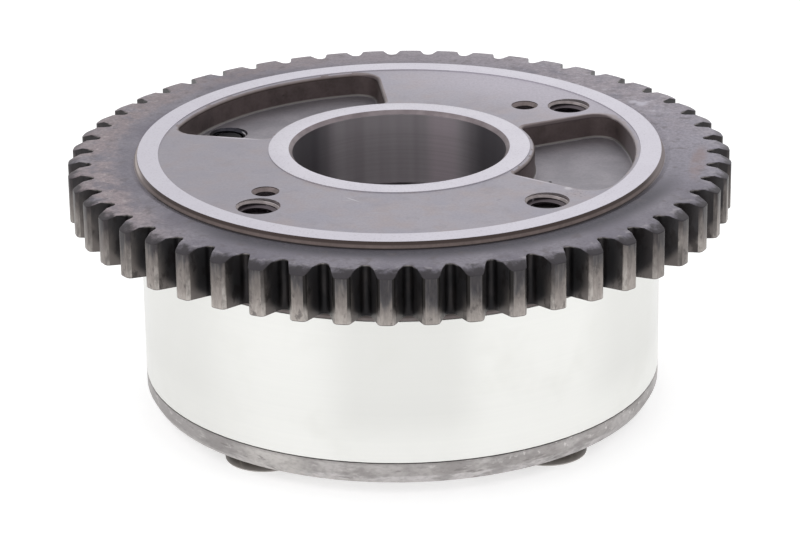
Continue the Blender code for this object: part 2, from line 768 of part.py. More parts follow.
def make_lock_pin(material, place):
    """Hollow stepped pin. Its origin is on its own sliding axis."""
    low = PIN_SKIRT_BOTTOM
    profile = [
        (PIN_HOLLOW_RADIUS, low),
        (PIN_SKIRT_RADIUS, low),
        (PIN_SKIRT_RADIUS, PIN_SKIRT_TOP),
        (PIN_RADIUS, PIN_SKIRT_TOP),
        (PIN_RADIUS, PIN_TIP - 2.0 * PIN_TIP_CHAMFER),
        (PIN_RADIUS - PIN_TIP_CHAMFER, PIN_TIP),
        (0.0, PIN_TIP),
        (0.0, PIN_TIP - PIN_CROWN),
        (PIN_HOLLOW_RADIUS, PIN_TIP - PIN_CROWN),
    ]
    shape = turn_profile([(radius, height - low) for radius, height in profile], HOLE_SEGMENTS)
    make_piece("lock_pin", shape, material, (place.x, place.y, low))


def make_spring_seat(material, place, axis):
    """Plug that closes the lock pin bore and carries the spring."""
    radius = SKIRT_BORE_RADIUS - PRESS_GAP
    boss_top = SPRING_SEAT_TOP + SPRING_SEAT_BOSS_HEIGHT
    profile = [
        (0.0, ROTOR_BOTTOM),
        (radius, ROTOR_BOTTOM),
        (radius, SPRING_SEAT_TOP),
        (SPRING_SEAT_BOSS, SPRING_SEAT_TOP),
        (SPRING_SEAT_BOSS, boss_top),
        (0.0, boss_top),
    ]
    shape = shift(turn_profile(profile, HOLE_SEGMENTS), place.x, place.y)
    make_piece("lock_pin_spring_seat", shape, material, parent=axis)


def make_pin_spring(material, place):
    """Round wire compression spring, as a bevelled helix."""
    low = SPRING_SEAT_TOP + RUNNING_GAP + WIRE_RADIUS
    high = PIN_TIP - PIN_CROWN - RUNNING_GAP - WIRE_RADIUS
    curve = bpy.data.curves.new("lock_pin_spring", "CURVE")
    curve.dimensions = "3D"
    curve.bevel_depth = WIRE_RADIUS
    curve.bevel_resolution = 1
    curve.use_fill_caps = True
    spline = curve.splines.new("POLY")
    count = COIL_TURNS * COIL_STEPS
    spline.points.add(count)
    for index, point in enumerate(spline.points):
        turn = polar(COIL_RADIUS, 360.0 * index / COIL_STEPS)
        point.co = (turn.x, turn.y, (high - low) * index / count, 1.0)
    curve.materials.append(material)
    spring = bpy.data.objects.new("lock_pin_spring", curve)
    spring.location = (place.x, place.y, low)
    bpy.context.scene.collection.objects.link(spring)


def socket_outline():
    """Six lobed drive recess."""
    count = SOCKET_LOBES * SOCKET_LOBE_STEPS
    outline = []
    for index in range(count):
        angle = 360.0 * index / count
        swing = math.cos(math.radians(SOCKET_LOBES * angle))
        outline.append(polar(SOCKET_MEAN_RADIUS + SOCKET_LOBE * swing, angle))
    return outline


def make_bolts(material):
    """Low head bolts that clamp plate and housing to the sprocket."""
    thread_radius = TAPPED_RADIUS - RUNNING_GAP
    shank_top = SPROCKET_BOTTOM - RUNNING_GAP
    end = POCKET_FLOOR - BOLT_END_DEPTH
    profile = [
        (0.0, 0.0),
        (HEAD_RADIUS - HEAD_CHAMFER, 0.0),
        (HEAD_RADIUS, HEAD_CHAMFER),
        (HEAD_RADIUS, HEAD_HEIGHT),
        (BOLT_RADIUS, HEAD_HEIGHT),
        (BOLT_RADIUS, shank_top),
        (thread_radius, shank_top),
        (thread_radius, end - TAPPED_MOUTH),
        (thread_radius - TAPPED_MOUTH, end),
        (0.0, end),
    ]
    for number, angle in enumerate(BOLT_ANGLES, start=1):
        place = polar(BOLT_CIRCLE, angle)
        shape = turn_profile(profile, HOLE_SEGMENTS)
        bolt = make_piece(f"housing_bolt_{number}", shape, material, (place.x, place.y, 0.0))
        socket = extrude_outline(socket_outline(), -OVERCUT, SOCKET_DEPTH)
        combine(bolt, shift(socket, place.x, place.y), f"bolt_socket_{number}", "DIFFERENCE")


def main():
    clear_scene()
    dark_steel = make_material("sintered_steel_dark", (0.17, 0.155, 0.16), 0.9, 0.42)
    aluminium = make_material("turned_aluminium", (0.82, 0.82, 0.80), 1.0, 0.30)
    plate_steel = make_material("plate_steel", (0.38, 0.37, 0.37), 1.0, 0.40)
    rotor_steel = make_material("rotor_steel", (0.30, 0.29, 0.29), 0.9, 0.45)
    bolt_steel = make_material("bolt_steel_black", (0.045, 0.040, 0.036), 0.8, 0.40)
    pin_steel = make_material("hardened_pin_steel", (0.45, 0.44, 0.43), 1.0, 0.25)
    spring_steel = make_material("spring_steel", (0.33, 0.32, 0.30), 1.0, 0.35)
    seal_resin = make_material("seal_resin", (0.06, 0.05, 0.045), 0.0, 0.50)

    lobes = vane_lobes()
    lock_angle = max(lobes, key=lambda lobe: lobe[1])[0]
    lock_place = polar(LOCK_CIRCLE, lock_angle)
    rotor_axis = make_axis("rotor_axis", (0.0, 0.0, 0.0))

    make_sprocket(dark_steel, lock_angle)
    make_bush(pin_steel, lock_angle)
    make_housing(aluminium)
    make_front_plate(plate_steel)
    make_bolts(bolt_steel)
    make_rotor(rotor_steel, lobes, lock_angle, rotor_axis)
    vane_floor = VANE_TIP_RADIUS - SEAL_SLOT_DEPTH
    vane_contact = CHAMBER_RADIUS - RUNNING_GAP
    vane_angles = [centre for centre, half in lobes]
    make_seals("vane", seal_resin, spring_steel, vane_angles, vane_contact, vane_floor, 1, rotor_axis)
    web_floor = WEB_TIP_RADIUS + SEAL_SLOT_DEPTH
    web_contact = ROTOR_HUB_RADIUS + RUNNING_GAP
    make_seals("web", seal_resin, spring_steel, BOLT_ANGLES, web_contact, web_floor, -1, None)
    make_spring_seat(pin_steel, lock_place, rotor_axis)
    make_lock_pin(pin_steel, lock_place)
    make_pin_spring(spring_steel, lock_place)


main()
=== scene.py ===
"""Looks of a vane type cam phaser with a silent chain sprocket.

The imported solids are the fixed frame. Lengths are in metres, +Z runs along
the camshaft axis and angles count counter-clockwise from +X.
"""

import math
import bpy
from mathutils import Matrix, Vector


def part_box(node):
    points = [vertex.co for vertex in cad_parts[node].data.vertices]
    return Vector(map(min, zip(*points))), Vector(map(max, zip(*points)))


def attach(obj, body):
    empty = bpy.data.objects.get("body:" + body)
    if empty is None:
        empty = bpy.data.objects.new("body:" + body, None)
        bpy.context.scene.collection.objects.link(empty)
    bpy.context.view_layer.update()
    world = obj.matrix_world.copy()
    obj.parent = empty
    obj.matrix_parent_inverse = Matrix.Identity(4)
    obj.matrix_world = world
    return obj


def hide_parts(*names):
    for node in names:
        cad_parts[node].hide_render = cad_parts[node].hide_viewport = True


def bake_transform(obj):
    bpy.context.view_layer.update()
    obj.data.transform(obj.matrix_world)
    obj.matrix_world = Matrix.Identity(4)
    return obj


bl_info = {
    "name": "Cam Phaser",
    "version": (1, 0, 0),
    "blender": (4, 5, 0),
    "location": "3D View > Sidebar > Phaser",
    "description": "Models a cam phaser around its packed solids",
    "category": "Object",
}

import bmesh
import bpy
from bpy.props import FloatProperty, FloatVectorProperty, IntProperty, PointerProperty
from mathutils import Matrix, Vector

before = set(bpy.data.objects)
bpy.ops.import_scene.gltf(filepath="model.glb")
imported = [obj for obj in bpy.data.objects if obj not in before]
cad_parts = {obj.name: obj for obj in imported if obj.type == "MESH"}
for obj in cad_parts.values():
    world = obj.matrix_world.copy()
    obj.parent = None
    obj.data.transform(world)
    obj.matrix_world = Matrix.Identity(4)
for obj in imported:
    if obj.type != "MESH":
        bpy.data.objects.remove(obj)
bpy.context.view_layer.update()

MM = 0.001
SPROCKET_LOW, SPROCKET_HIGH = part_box("sprocket")
HOUSING_LOW, HOUSING_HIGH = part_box("stator_housing")
PLATE_LOW, PLATE_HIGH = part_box("front_plate")
BOLT_NODES = ["housing_bolt_1", "housing_bolt_2", "housing_bolt_3", "housing_bolt_4"]
BOLT_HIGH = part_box("housing_bolt_1")[1]
BOLT_PLACES = [(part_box(node)[0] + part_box(node)[1]) / 2.0 for node in BOLT_NODES]
BUSH_LOW, BUSH_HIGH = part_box("lock_pin_bush")


def linear(code):
    """Linear colour of an sRGB hex code, with full alpha."""
    channels = []
    for start in (0, 2, 4):
        value = int(code[start:start + 2], 16) / 255.0
        channels.append(value / 12.92 if value <= 0.04045 else ((value + 0.055) / 1.055) ** 2.4)
    return (*channels, 1.0)


def length(name, description, default):
    """Property for a length in metres."""
    return FloatProperty(
        name=name, description=description, default=default, unit="LENGTH", subtype="DISTANCE"
    )


def finish_colour(name, description, code):
    """Property for the colour of a finish, whose default is an sRGB hex code."""
    return FloatVectorProperty(
        name=name, description=description, default=linear(code), size=4, subtype="COLOR"
    )


class SprocketSizes(bpy.types.PropertyGroup):
    """Sizes of the sprocket"""

    teeth: IntProperty(name="Teeth", description="Number of silent chain teeth", default=50, min=20)
    tip_radius: length("Tip radius", "Radius over the teeth", 51.0 * MM)
    root_radius: length("Root radius", "Radius at the roots", 47.3 * MM)
    valley_radius: length("Root arc", "Radius of the root arcs", 0.8 * MM)
    flank_angle: FloatProperty(
        name="Flank angle", description="Half angle between two flanks", default=math.radians(23.0),
        subtype="ANGLE",
    )
    first_valley: FloatProperty(
        name="First root", description="Angle of the first root", default=math.radians(4.75), subtype="ANGLE"
    )
    tip_round: length("Tip corner", "Rounding beside each tip", 0.85 * MM)
    edge_round: length("Tooth edge", "Rounding of the tooth ends", 0.14 * MM)
    cone_start: length("Tip chamfer start", "Radius where the teeth start to slope", 49.2 * MM)
    cone_drop: length("Tip chamfer drop", "Drop of the slope at the tip", 0.75 * MM)
    tooth_width: length("Tooth width", "Width of the teeth", 7.9 * MM)
    boss_height: length("Boss height", "Height of the ground rings over the teeth", 0.8 * MM)
    land_radius: length("Outer ring", "Outer radius of the ground ring", 40.3 * MM)
    land_width: length("Outer ring width", "Width of the ground ring", 3.2 * MM)
    hub_radius: length("Hub ring", "Outer radius of the ground hub ring", 20.15 * MM)
    bore_radius: length("Bore", "Radius of the camshaft bore", 16.45 * MM)
    bore_chamfer: length("Bore chamfer", "Chamfer of the camshaft bore", 0.6 * MM)
    boss_groove: length("Boss groove", "Depth of the turned groove at the boss's foot", 0.3 * MM)
    web_recess: length("Web recess", "Depth of the web below the ground rings", 0.15 * MM)
    shoulder_radius: length("Shoulder", "Radius below the teeth", 40.1 * MM)
    pocket_depth: length("Pocket depth", "Depth of the two pockets", 4.0 * MM)
    pocket_rim: length("Pocket rim", "Rounding of the pocket rims", 0.6 * MM)
    pocket_foot: length("Pocket foot", "Fillet at the foot of the pocket walls", 0.4 * MM)
    tapped_radius: length("Thread crest", "Inner radius of the tapped threads", 2.5 * MM)
    thread_pitch: length("Thread pitch", "Pitch of the tapped threads", 1.0 * MM)
    pin_hole_radius: length("Pin hole", "Radius of the two pin holes", 1.6 * MM)


class BoltSizes(bpy.types.PropertyGroup):
    """Sizes of the four housing bolts"""

    head_radius: length("Head radius", "Radius of the bolt heads", 6.1 * MM)
    head_height: length("Head height", "Height of the bolt heads", 1.8 * MM)
    shank_radius: length("Shank radius", "Radius of the bolt shanks", 3.0 * MM)
    socket_radius: length("Drive radius", "Mean radius of the six lobed drive", 2.4 * MM)
    socket_lobe: length("Drive lobe", "Swing of the drive's lobes", 0.4 * MM)
    socket_depth: length("Drive depth", "Depth of the drive", 2.4 * MM)


class EdgeSizes(bpy.types.PropertyGroup):
    """Edge breaks of the pieces that take their shape from the solids"""

    housing: length("Housing edge", "Edge break of the housing", 0.25 * MM)
    rotor: length("Rotor edge", "Edge break of the rotor", 0.2 * MM)
    plate: length("Plate edge", "Edge break of the front plate", 0.08 * MM)


class FinishColours(bpy.types.PropertyGroup):
    """Colours of the finishes that cover most"""

    ground: finish_colour("Ground steel", "Ground rings", "c5c2cb")
    web: finish_colour("Web", "Satin web between the rings", "a29ea6")
    gear: finish_colour("Gear face", "Upper face of the teeth", "87838c")
    oxide: finish_colour("Black oxide", "Tooth flanks and roots", "3c3b3d")
    brown: finish_colour("Brown film", "Oil stained walls", "695d5b")
    aluminium: finish_colour("Aluminium", "Turned housing", "dededb")
    plate: finish_colour("Plate steel", "Rim of the front plate", "bbb7b6")
    bolt: finish_colour("Bolt black", "Phosphated bolts", "3f3a36")


class Layout(bpy.types.PropertyGroup):
    """All sizes and colours, kept on the scene"""

    sprocket: PointerProperty(type=SprocketSizes)
    bolts: PointerProperty(type=BoltSizes)
    edges: PointerProperty(type=EdgeSizes)
    colours: PointerProperty(type=FinishColours)


# Pockets: first and last angle of each, corner roundings, and the webs left beside the two ground rings
POCKETS = ((math.radians(96.0), math.radians(166.8)), (math.radians(-35.6), math.radians(24.4)))
POCKET_HUB_CORNER = 1.0 * MM
POCKET_RIM_CORNER = 3.4 * MM
POCKET_HUB_MARGIN = 0.75 * MM
POCKET_RIM_MARGIN = 0.8 * MM

# Pin holes and tapped holes: a step is how far the 45 degree mouth starts below the web
PIN_HOLE_CIRCLE = 27.4 * MM
PIN_HOLE_ANGLES = (math.radians(43.0), math.radians(223.0))
PIN_HOLE_MOUTH = 0.5 * MM
PIN_HOLE_DEPTH = 7.0 * MM
PIN_HOLE_STEP = 0.12 * MM
TAPPED_MOUTH = 0.33 * MM
TAPPED_STEP = 0.36 * MM
TAPPED_TILT = 0.24 * MM
POCKET_TAPPED_MOUTH = 0.05 * MM
THREAD_DEPTH = 0.5 * MM
THREAD_SINK = 0.05 * MM
THREAD_BELOW_BOLT = 1.2 * MM
BUSH_CLEARANCE = 0.2 * MM

# Half widths of a thread ridge at its base and at its crest, in pitches
THREAD_BASE = 0.44
THREAD_CREST = 0.09

# Sprocket: the boss's sloped wall and foot, the flat beside the roots, and small roundings
BOSS_DRAFT = 0.5 * MM
BOSS_WALL_ROUND = 0.15 * MM
BOSS_FOOT_WIDTH = 0.9 * MM
BOSS_FOOT_ROUND = 0.8 * MM
ROOT_FLAT_START = 1.6 * MM
ROOT_FLAT_END = 0.4 * MM
RING_ROUND = 0.1 * MM
HUB_ROUND = 0.08 * MM
WEB_ROUND = 0.05 * MM
SHOULDER_FILLET = 0.4 * MM
SHOULDER_ROUND = 0.03 * MM
BORE_LOW_CHAMFER = 0.4 * MM
TOOTH_EDGE_MARGIN = 0.03 * MM

# Housing: gap left at each joint, how near to a rim its points are drawn out, and the share of their old
# edge break that stays
JOINT_GAP = 0.08 * MM
RIM_REACH = 0.6 * MM
RIM_SHARE = 0.3

# Bolts: roundings, chamfers and thread
HEAD_ROUND = 0.15 * MM
HEAD_CHAMFER = 0.1 * MM
BOLT_CREST_FLAT = 0.05 * MM
BOLT_THREAD_DEPTH = 0.55 * MM
BOLT_SHANK_GAP = 0.3 * MM
BOLT_SHANK_CHAMFER = 0.3 * MM
BOLT_END_CHAMFER = 0.5 * MM
BOLT_THREAD_END = 0.6 * MM
BOLT_PITCH = 1.0 * MM
DRIVE_LOBES = 6.0
DRIVE_CHAMFER = 0.15 * MM

# How finely shapes are divided, and how near two points or faces count as one
ROUND_STEPS = 3
CORNER_STEPS = 6
CIRCLE_SEGMENTS = 48
DRIVE_SEGMENTS = 72
THREAD_STEPS = 24
ARC_STEP = math.radians(2.0)
WELD = 0.001 * MM
FLAT_ANGLE = math.radians(0.5)
EDGE_ANGLE = math.radians(35.0)
SMOOTH_ANGLE = math.radians(32.0)

# How far cutting tools stand out, and a quarter round of radius one as distances in and down from its edges
CUT = 2.0 * MM
QUARTER_ROUND = [
    (1.0 - math.cos(math.radians(turn)), 1.0 - math.sin(math.radians(turn))) for turn in (0, 30, 60, 90)
]

# Faces of the sprocket: margins about the heights and radii at which one finish gives way to the next
EDGE_MARGIN = 0.01 * MM
FACE_MARGIN = 0.02 * MM
GROUND_MARGIN = 0.04 * MM
WALL_MARGIN = 0.05 * MM
HOLE_MARGIN = 0.1 * MM
BORE_MARGIN = 0.5 * MM

# Faces of the sprocket: upward and outward parts of a normal that tell one surface from the next
FACES_UP = 0.95
LEANS_UP = 0.3
BORE_UPRIGHT = 0.25
TOOTH_UPRIGHT = 0.12
FACES_OUT = 0.97

# The camera that took the photograph, fitted to the rings of the sprocket's face
CAMERA_ELEVATION = math.radians(21.81)
CAMERA_AIM = (-0.145 * MM, 0.0, 20.6 * MM)
CAMERA_DISTANCE = 542.0 * MM
CAMERA_LENS = 156.2
CAMERA_ROLL = math.radians(-0.84)
CAMERA_CLIP = 10.0 * MM

# Stage: the floor's size, its glow where the camera or a reflection sees it, the world's strength where it
# lights the object, and softboxes as name, place, size and power
FLOOR_SIZE = 6.0
FLOOR_GLOW = 0.6
WORLD_LIGHT = 0.92
SOFTBOXES = (
    ("key_softbox", (-0.55, -0.25, 0.75), 0.6, 0.5),
    ("back_softbox", (0.25, 0.75, 0.55), 0.7, 0.4),
)
SOFTBOX_AIM = (0.0, 0.0, 20.0 * MM)


# Shaping

def deselect():
    if bpy.context.object and bpy.context.object.mode != "OBJECT":
        bpy.ops.object.mode_set(mode="OBJECT")
    bpy.ops.object.select_all(action="DESELECT")


def pick(*pieces):
    """Select these pieces only. The first one becomes the active one."""
    deselect()
    for piece in pieces:
        piece.select_set(True)
    bpy.context.view_layer.objects.active = pieces[0]


def name_new(name):
    piece = bpy.context.object
    piece.name = piece.data.name = name
    return piece


def settle(piece, turn=True):
    """Merge what meets and turn the faces outwards."""
    pick(piece)
    bpy.ops.object.mode_set(mode="EDIT")
    bpy.ops.mesh.select_all(action="SELECT")
    bpy.ops.mesh.remove_doubles(threshold=WELD)
    if turn:
        bpy.ops.mesh.normals_make_consistent(inside=False)
    bpy.ops.object.mode_set(mode="OBJECT")
    return piece


def smooth(piece):
    """Smooth shading with crisp corners, weighted by the area of the faces."""
    pick(piece)
    bpy.ops.object.shade_smooth_by_angle(angle=SMOOTH_ANGLE)
    weights = piece.modifiers.new("face_weights", "WEIGHTED_NORMAL")
    weights.keep_sharp = True
    bpy.ops.object.modifier_apply(modifier=weights.name)
    return piece


def soften(corners):
    """Round the corners of a side outline, given as (radius, height, rounding)."""
    points = []
    for index, (radius, height, rounding) in enumerate(corners):
        corner = Vector((radius, height))
        if not rounding:
            points.append(corner)
            continue
        before = (Vector(corners[index - 1][:2]) - corner).normalized()
        after = (Vector(corners[(index + 1) % len(corners)][:2]) - corner).normalized()
        half = before.angle(after) / 2.0
        centre = corner + (before + after).normalized() * rounding / math.sin(half)
        first = corner + before * rounding / math.tan(half) - centre
        last = corner + after * rounding / math.tan(half) - centre
        sweep = first.angle_signed(last)
        for step in range(ROUND_STEPS + 1):
            points.append(centre + Matrix.Rotation(-sweep * step / ROUND_STEPS, 2) @ first)
    return points


def lofted(name, sections):
    """Solid extruded from one flat section through the next ones, point by point."""
    deselect()
    bpy.ops.mesh.primitive_circle_add(vertices=len(sections[0]), fill_type="NGON")
    piece = name_new(name)
    for vertex, point in zip(piece.data.vertices, sections[0]):
        vertex.co = point
    bpy.ops.object.mode_set(mode="EDIT")
    bpy.ops.mesh.select_all(action="SELECT")
    for before, after in zip(sections, sections[1:]):
        bpy.ops.mesh.extrude_region_move()
        shape = bmesh.from_edit_mesh(piece.data)
        for vertex in (vertex for vertex in shape.verts if vertex.select):
            nearest = min(range(len(before)), key=lambda place: (vertex.co - before[place]).length_squared)
            vertex.co = after[nearest]
        bmesh.update_edit_mesh(piece.data)
    bpy.ops.object.mode_set(mode="OBJECT")
    return settle(piece)


def gridded(name, columns, rows, place):
    """Grid whose every point is put where place(column, row) says."""
    deselect()
    bpy.ops.mesh.primitive_grid_add(x_subdivisions=columns, y_subdivisions=rows, size=1.0)
    piece = name_new(name)
    for number, vertex in enumerate(piece.data.vertices):
        vertex.co = place(number % (columns + 1), number // (columns + 1))
    return piece


def combine(piece, tool, operation="DIFFERENCE"):
    """Cut a tool out of a piece, or join it on, and remove the tool."""
    pick(piece)
    modifier = piece.modifiers.new(tool.name, "BOOLEAN")
    modifier.operation = operation
    modifier.solver = "EXACT"
    modifier.object = tool
    bpy.ops.object.modifier_apply(modifier=modifier.name)
    bpy.data.objects.remove(tool, do_unlink=True)
    return piece


def join(*pieces):
    pick(*pieces)
    bpy.ops.object.join()
    return bpy.context.object


def circle(radius, height, centre=(0.0, 0.0)):
    points = []
    for step in range(CIRCLE_SEGMENTS):
        angle = math.tau * step / CIRCLE_SEGMENTS
        points.append(
            Vector((centre[0] + radius * math.cos(angle), centre[1] + radius * math.sin(angle), height))
        )
    return points


def polar(radius, angle):
    return Vector((radius * math.cos(angle), radius * math.sin(angle)))


def grow(outline, distance):
    """Flat outline moved outwards by one distance all round."""
    grown = []
    for index, point in enumerate(outline):
        before = (point - outline[index - 1]).normalized()
        after = (outline[(index + 1) % len(outline)] - point).normalized()
        normal = Vector((before.y + after.y, -before.x - after.x))
        grown.append(point + normal * (2.0 * distance / normal.length_squared))
    return grown


def at_height(outline, height):
    return [Vector((point.x, point.y, height)) for point in outline]


def corner_arc(ring, blend, line, side, outside):
    """Blend from a radial line to a circle about the axis."""
    reach = ring + outside * blend
    turn = side * math.asin(blend / reach)
    centre = polar(reach, line + turn)
    first = polar(math.sqrt(reach * reach - blend * blend), line) - centre
    last = polar(ring, line + turn) - centre
    start = math.atan2(first.y, first.x)
    sweep = math.remainder(math.atan2(last.y, last.x) - start, math.tau)
    return [centre + polar(blend, start + sweep * step / CORNER_STEPS) for step in range(CORNER_STEPS + 1)]


def kidney(inner, outer, start, end):
    """Ring sector with rounded corners, counter-clockwise."""

    def arc(radius, first, last):
        count = max(2, round(abs(last - first) / ARC_STEP))
        return [polar(radius, first + (last - first) * step / count) for step in range(1, count)]

    outer_turn = math.asin(POCKET_RIM_CORNER / (outer - POCKET_RIM_CORNER))
    inner_turn = math.asin(POCKET_HUB_CORNER / (inner + POCKET_HUB_CORNER))
    outline = corner_arc(outer, POCKET_RIM_CORNER, start, 1, -1)
    outline += arc(outer, start + outer_turn, end - outer_turn)
    outline += reversed(corner_arc(outer, POCKET_RIM_CORNER, end, -1, -1))
    outline += corner_arc(inner, POCKET_HUB_CORNER, end, -1, 1)
    outline += arc(inner, end - inner_turn, start + inner_turn)
    outline += reversed(corner_arc(inner, POCKET_HUB_CORNER, start, 1, 1))
    return outline


def helix_ridge(name, centre, base, crest, low, high, pitch):
    """Thread ridge that runs out at both ends and stays below high."""
    count = max(THREAD_STEPS, round((high - low) / pitch * THREAD_STEPS))
    half_base = THREAD_BASE * pitch
    half_crest = THREAD_CREST * pitch
    section = [
        (base, -half_base), (crest, -half_crest), (crest, half_crest), (base, half_base), (base, -half_base),
    ]

    def place(column, row):
        radius, rise = section[row]
        if column in (0, count):
            radius, rise = base, 0.0
        height = min(low + pitch * column / THREAD_STEPS + rise, high)
        angle = math.tau * column / THREAD_STEPS
        return (centre[0] + radius * math.cos(angle), centre[1] + radius * math.sin(angle), height)

    return settle(gridded(name, count, len(section) - 1, place))


def copy_node(node, name, edge=0.0):
    """Copy of a solid's mesh. With an edge size its flat faces are made whole and its edges broken."""
    piece = bpy.data.objects.new(name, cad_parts[node].data.copy())
    piece.data.name = name
    bpy.context.scene.collection.objects.link(piece)
    settle(piece, turn=False)
    if not edge:
        return smooth(piece)
    bpy.ops.object.mode_set(mode="EDIT")
    bpy.ops.mesh.select_all(action="SELECT")
    bpy.ops.mesh.dissolve_limited(angle_limit=FLAT_ANGLE)
    bpy.ops.mesh.select_all(action="DESELECT")
    bpy.ops.mesh.select_mode(type="EDGE")
    bpy.ops.mesh.edges_select_sharp(sharpness=EDGE_ANGLE)
    bpy.ops.mesh.bevel(offset=edge, segments=2, affect="EDGES", clamp_overlap=True)
    bpy.ops.object.mode_set(mode="OBJECT")
    return smooth(piece)


def close_joints(piece):
    """Draw the housing's rims out to small edge breaks that nearly meet its neighbours."""
    middle = (HOUSING_LOW.z + HOUSING_HIGH.z) / 2.0
    half = (HOUSING_HIGH.z - HOUSING_LOW.z) / 2.0
    reach = (SPROCKET_LOW.z - PLATE_HIGH.z - 2.0 * JOINT_GAP) / 2.0
    outside = HOUSING_HIGH.x
    for vertex in piece.data.vertices:
        radius = math.hypot(vertex.co.x, vertex.co.y)
        if radius > outside - RIM_REACH and abs(vertex.co.z - middle) > half - RIM_REACH:
            down = half - abs(vertex.co.z - middle)
            inward = outside - radius
            vertex.co.x *= (outside - inward * RIM_SHARE) / radius
            vertex.co.y *= (outside - inward * RIM_SHARE) / radius
            vertex.co.z = middle + math.copysign(reach - down * RIM_SHARE, vertex.co.z - middle)


def paint(piece, finishes, choose):
    """Give each face the finish that choose(centre, normal) names."""
    piece.data.materials.clear()
    order = list(finishes)
    for finish in order:
        piece.data.materials.append(finishes[finish])
    for face in piece.data.polygons:
        face.material_index = order.index(choose(face.center, face.normal))


def coat(piece, material):
    piece.data.materials.clear()
    piece.data.materials.append(material)


# Finishes

def add_node(tree, kind, inputs=None, stops=None, **settings):
    """Add a node with its settings, set or link its inputs, and return it."""
    node = tree.nodes.new(kind)
    for key, value in settings.items():
        setattr(node, key, value)
    for key, value in (inputs or {}).items():
        if isinstance(value, bpy.types.NodeSocket):
            tree.links.new(value, node.inputs[key])
        else:
            node.inputs[key].default_value = value
    if stops:
        while len(node.color_ramp.elements) < len(stops):
            node.color_ramp.elements.new(0.5)
        for element, (position, code) in zip(node.color_ramp.elements, stops):
            element.position = position
            element.color = linear(code)
    return node


def start_finish(name, metallic, roughness):
    """New material, with its node tree and its object coordinates."""
    material = bpy.data.materials.new(name)
    material.use_nodes = True
    tree = material.node_tree
    surface = tree.nodes["Principled BSDF"]
    surface.inputs["Metallic"].default_value = metallic
    surface.inputs["Roughness"].default_value = roughness
    return material, tree, add_node(tree, "ShaderNodeTexCoord").outputs["Object"]


def end_finish(material, colour, pattern=None, relief=0.0):
    """Link the colour to the shader, with the relief in metres that a pattern gives it."""
    tree = material.node_tree
    surface = tree.nodes["Principled BSDF"]
    tree.links.new(colour, surface.inputs["Base Color"])
    if pattern:
        bump = add_node(tree, "ShaderNodeBump", {"Height": pattern, "Distance": relief})
        tree.links.new(bump.outputs[0], surface.inputs["Normal"])
    return material


def patches(tree, place, size, low, high, amount=1.0, stretch=(1.0, 1.0, 1.0), detail=3.0, offset=0.0):
    """Soft patches of a size in metres: none below the low noise value, the full amount above the high."""
    moved = add_node(
        tree, "ShaderNodeMapping", {"Vector": place, "Location": (offset, offset, offset), "Scale": stretch}
    ).outputs[0]
    noise = add_node(
        tree, "ShaderNodeTexNoise", {"Vector": moved, "Scale": 1.0 / size, "Detail": detail, "Roughness": 0.6}
    ).outputs[0]
    return add_node(
        tree, "ShaderNodeMapRange", {"Value": noise, "From Min": low, "From Max": high, "To Max": amount},
        interpolation_type="SMOOTHSTEP",
    ).outputs[0]


def mark(tree, place, spot, turn, size, amount):
    """One small mark: a soft ellipse about a spot, its length turned from +X."""
    moved = add_node(
        tree, "ShaderNodeMapping",
        {"Vector": place, "Location": spot, "Rotation": (0.0, 0.0, turn), "Scale": size},
        vector_type="TEXTURE",
    ).outputs[0]
    away = add_node(tree, "ShaderNodeVectorMath", {0: moved}, operation="LENGTH").outputs["Value"]
    return add_node(
        tree, "ShaderNodeMapRange", {"Value": away, "From Min": 1.0, "From Max": 0.4, "To Max": amount},
        interpolation_type="SMOOTHSTEP",
    ).outputs[0]


def measure(tree, place, axis):
    """X, Y or Z of a place, R for its distance from the camshaft axis, or W for how far it is to a side."""
    if axis == "R":
        flat = add_node(
            tree, "ShaderNodeVectorMath", {0: place, 1: (1.0, 1.0, 0.0)}, operation="MULTIPLY"
        ).outputs[0]
        return add_node(tree, "ShaderNodeVectorMath", {0: flat}, operation="LENGTH").outputs["Value"]
    split = add_node(tree, "ShaderNodeSeparateXYZ", {"Vector": place}).outputs
    if axis == "W":
        return add_node(tree, "ShaderNodeMath", {0: split["X"]}, operation="ABSOLUTE").outputs[0]
    return split[axis]


def zone(tree, place, *parts):
    """Share where all of the parts meet.

    A part is a share, or a range of one of measure's axes or of another value: where it starts, where it
    is full and, unless that is one, its amount there.
    """
    whole = None
    for part in parts:
        if isinstance(part, tuple):
            value, start, full, *amount = part
            if isinstance(value, str):
                value = measure(tree, place, value)
            part = add_node(
                tree, "ShaderNodeMapRange",
                {"Value": value, "From Min": start, "From Max": full, "To Max": amount[0] if amount else 1.0},
                interpolation_type="SMOOTHSTEP",
            ).outputs[0]
        if whole:
            part = add_node(tree, "ShaderNodeMath", {0: whole, 1: part}, operation="MULTIPLY").outputs[0]
        whole = part
    return whole


def layered(tree, base, *layers):
    """Base colour with films over it, each a share and a colour."""
    for share, film in layers:
        colour = film if isinstance(film, bpy.types.NodeSocket) else linear(film)
        base = add_node(tree, "ShaderNodeMix", {0: share, 6: base, 7: colour}, data_type="RGBA").outputs[2]
    return base


def seen_or_mirrored(tree):
    """One where the camera or a reflection sees the surface, and none where it lights the object."""
    path = add_node(tree, "ShaderNodeLightPath").outputs
    return add_node(
        tree, "ShaderNodeMath", {0: path["Is Camera Ray"], 1: path["Is Glossy Ray"]}, operation="MAXIMUM"
    ).outputs[0]


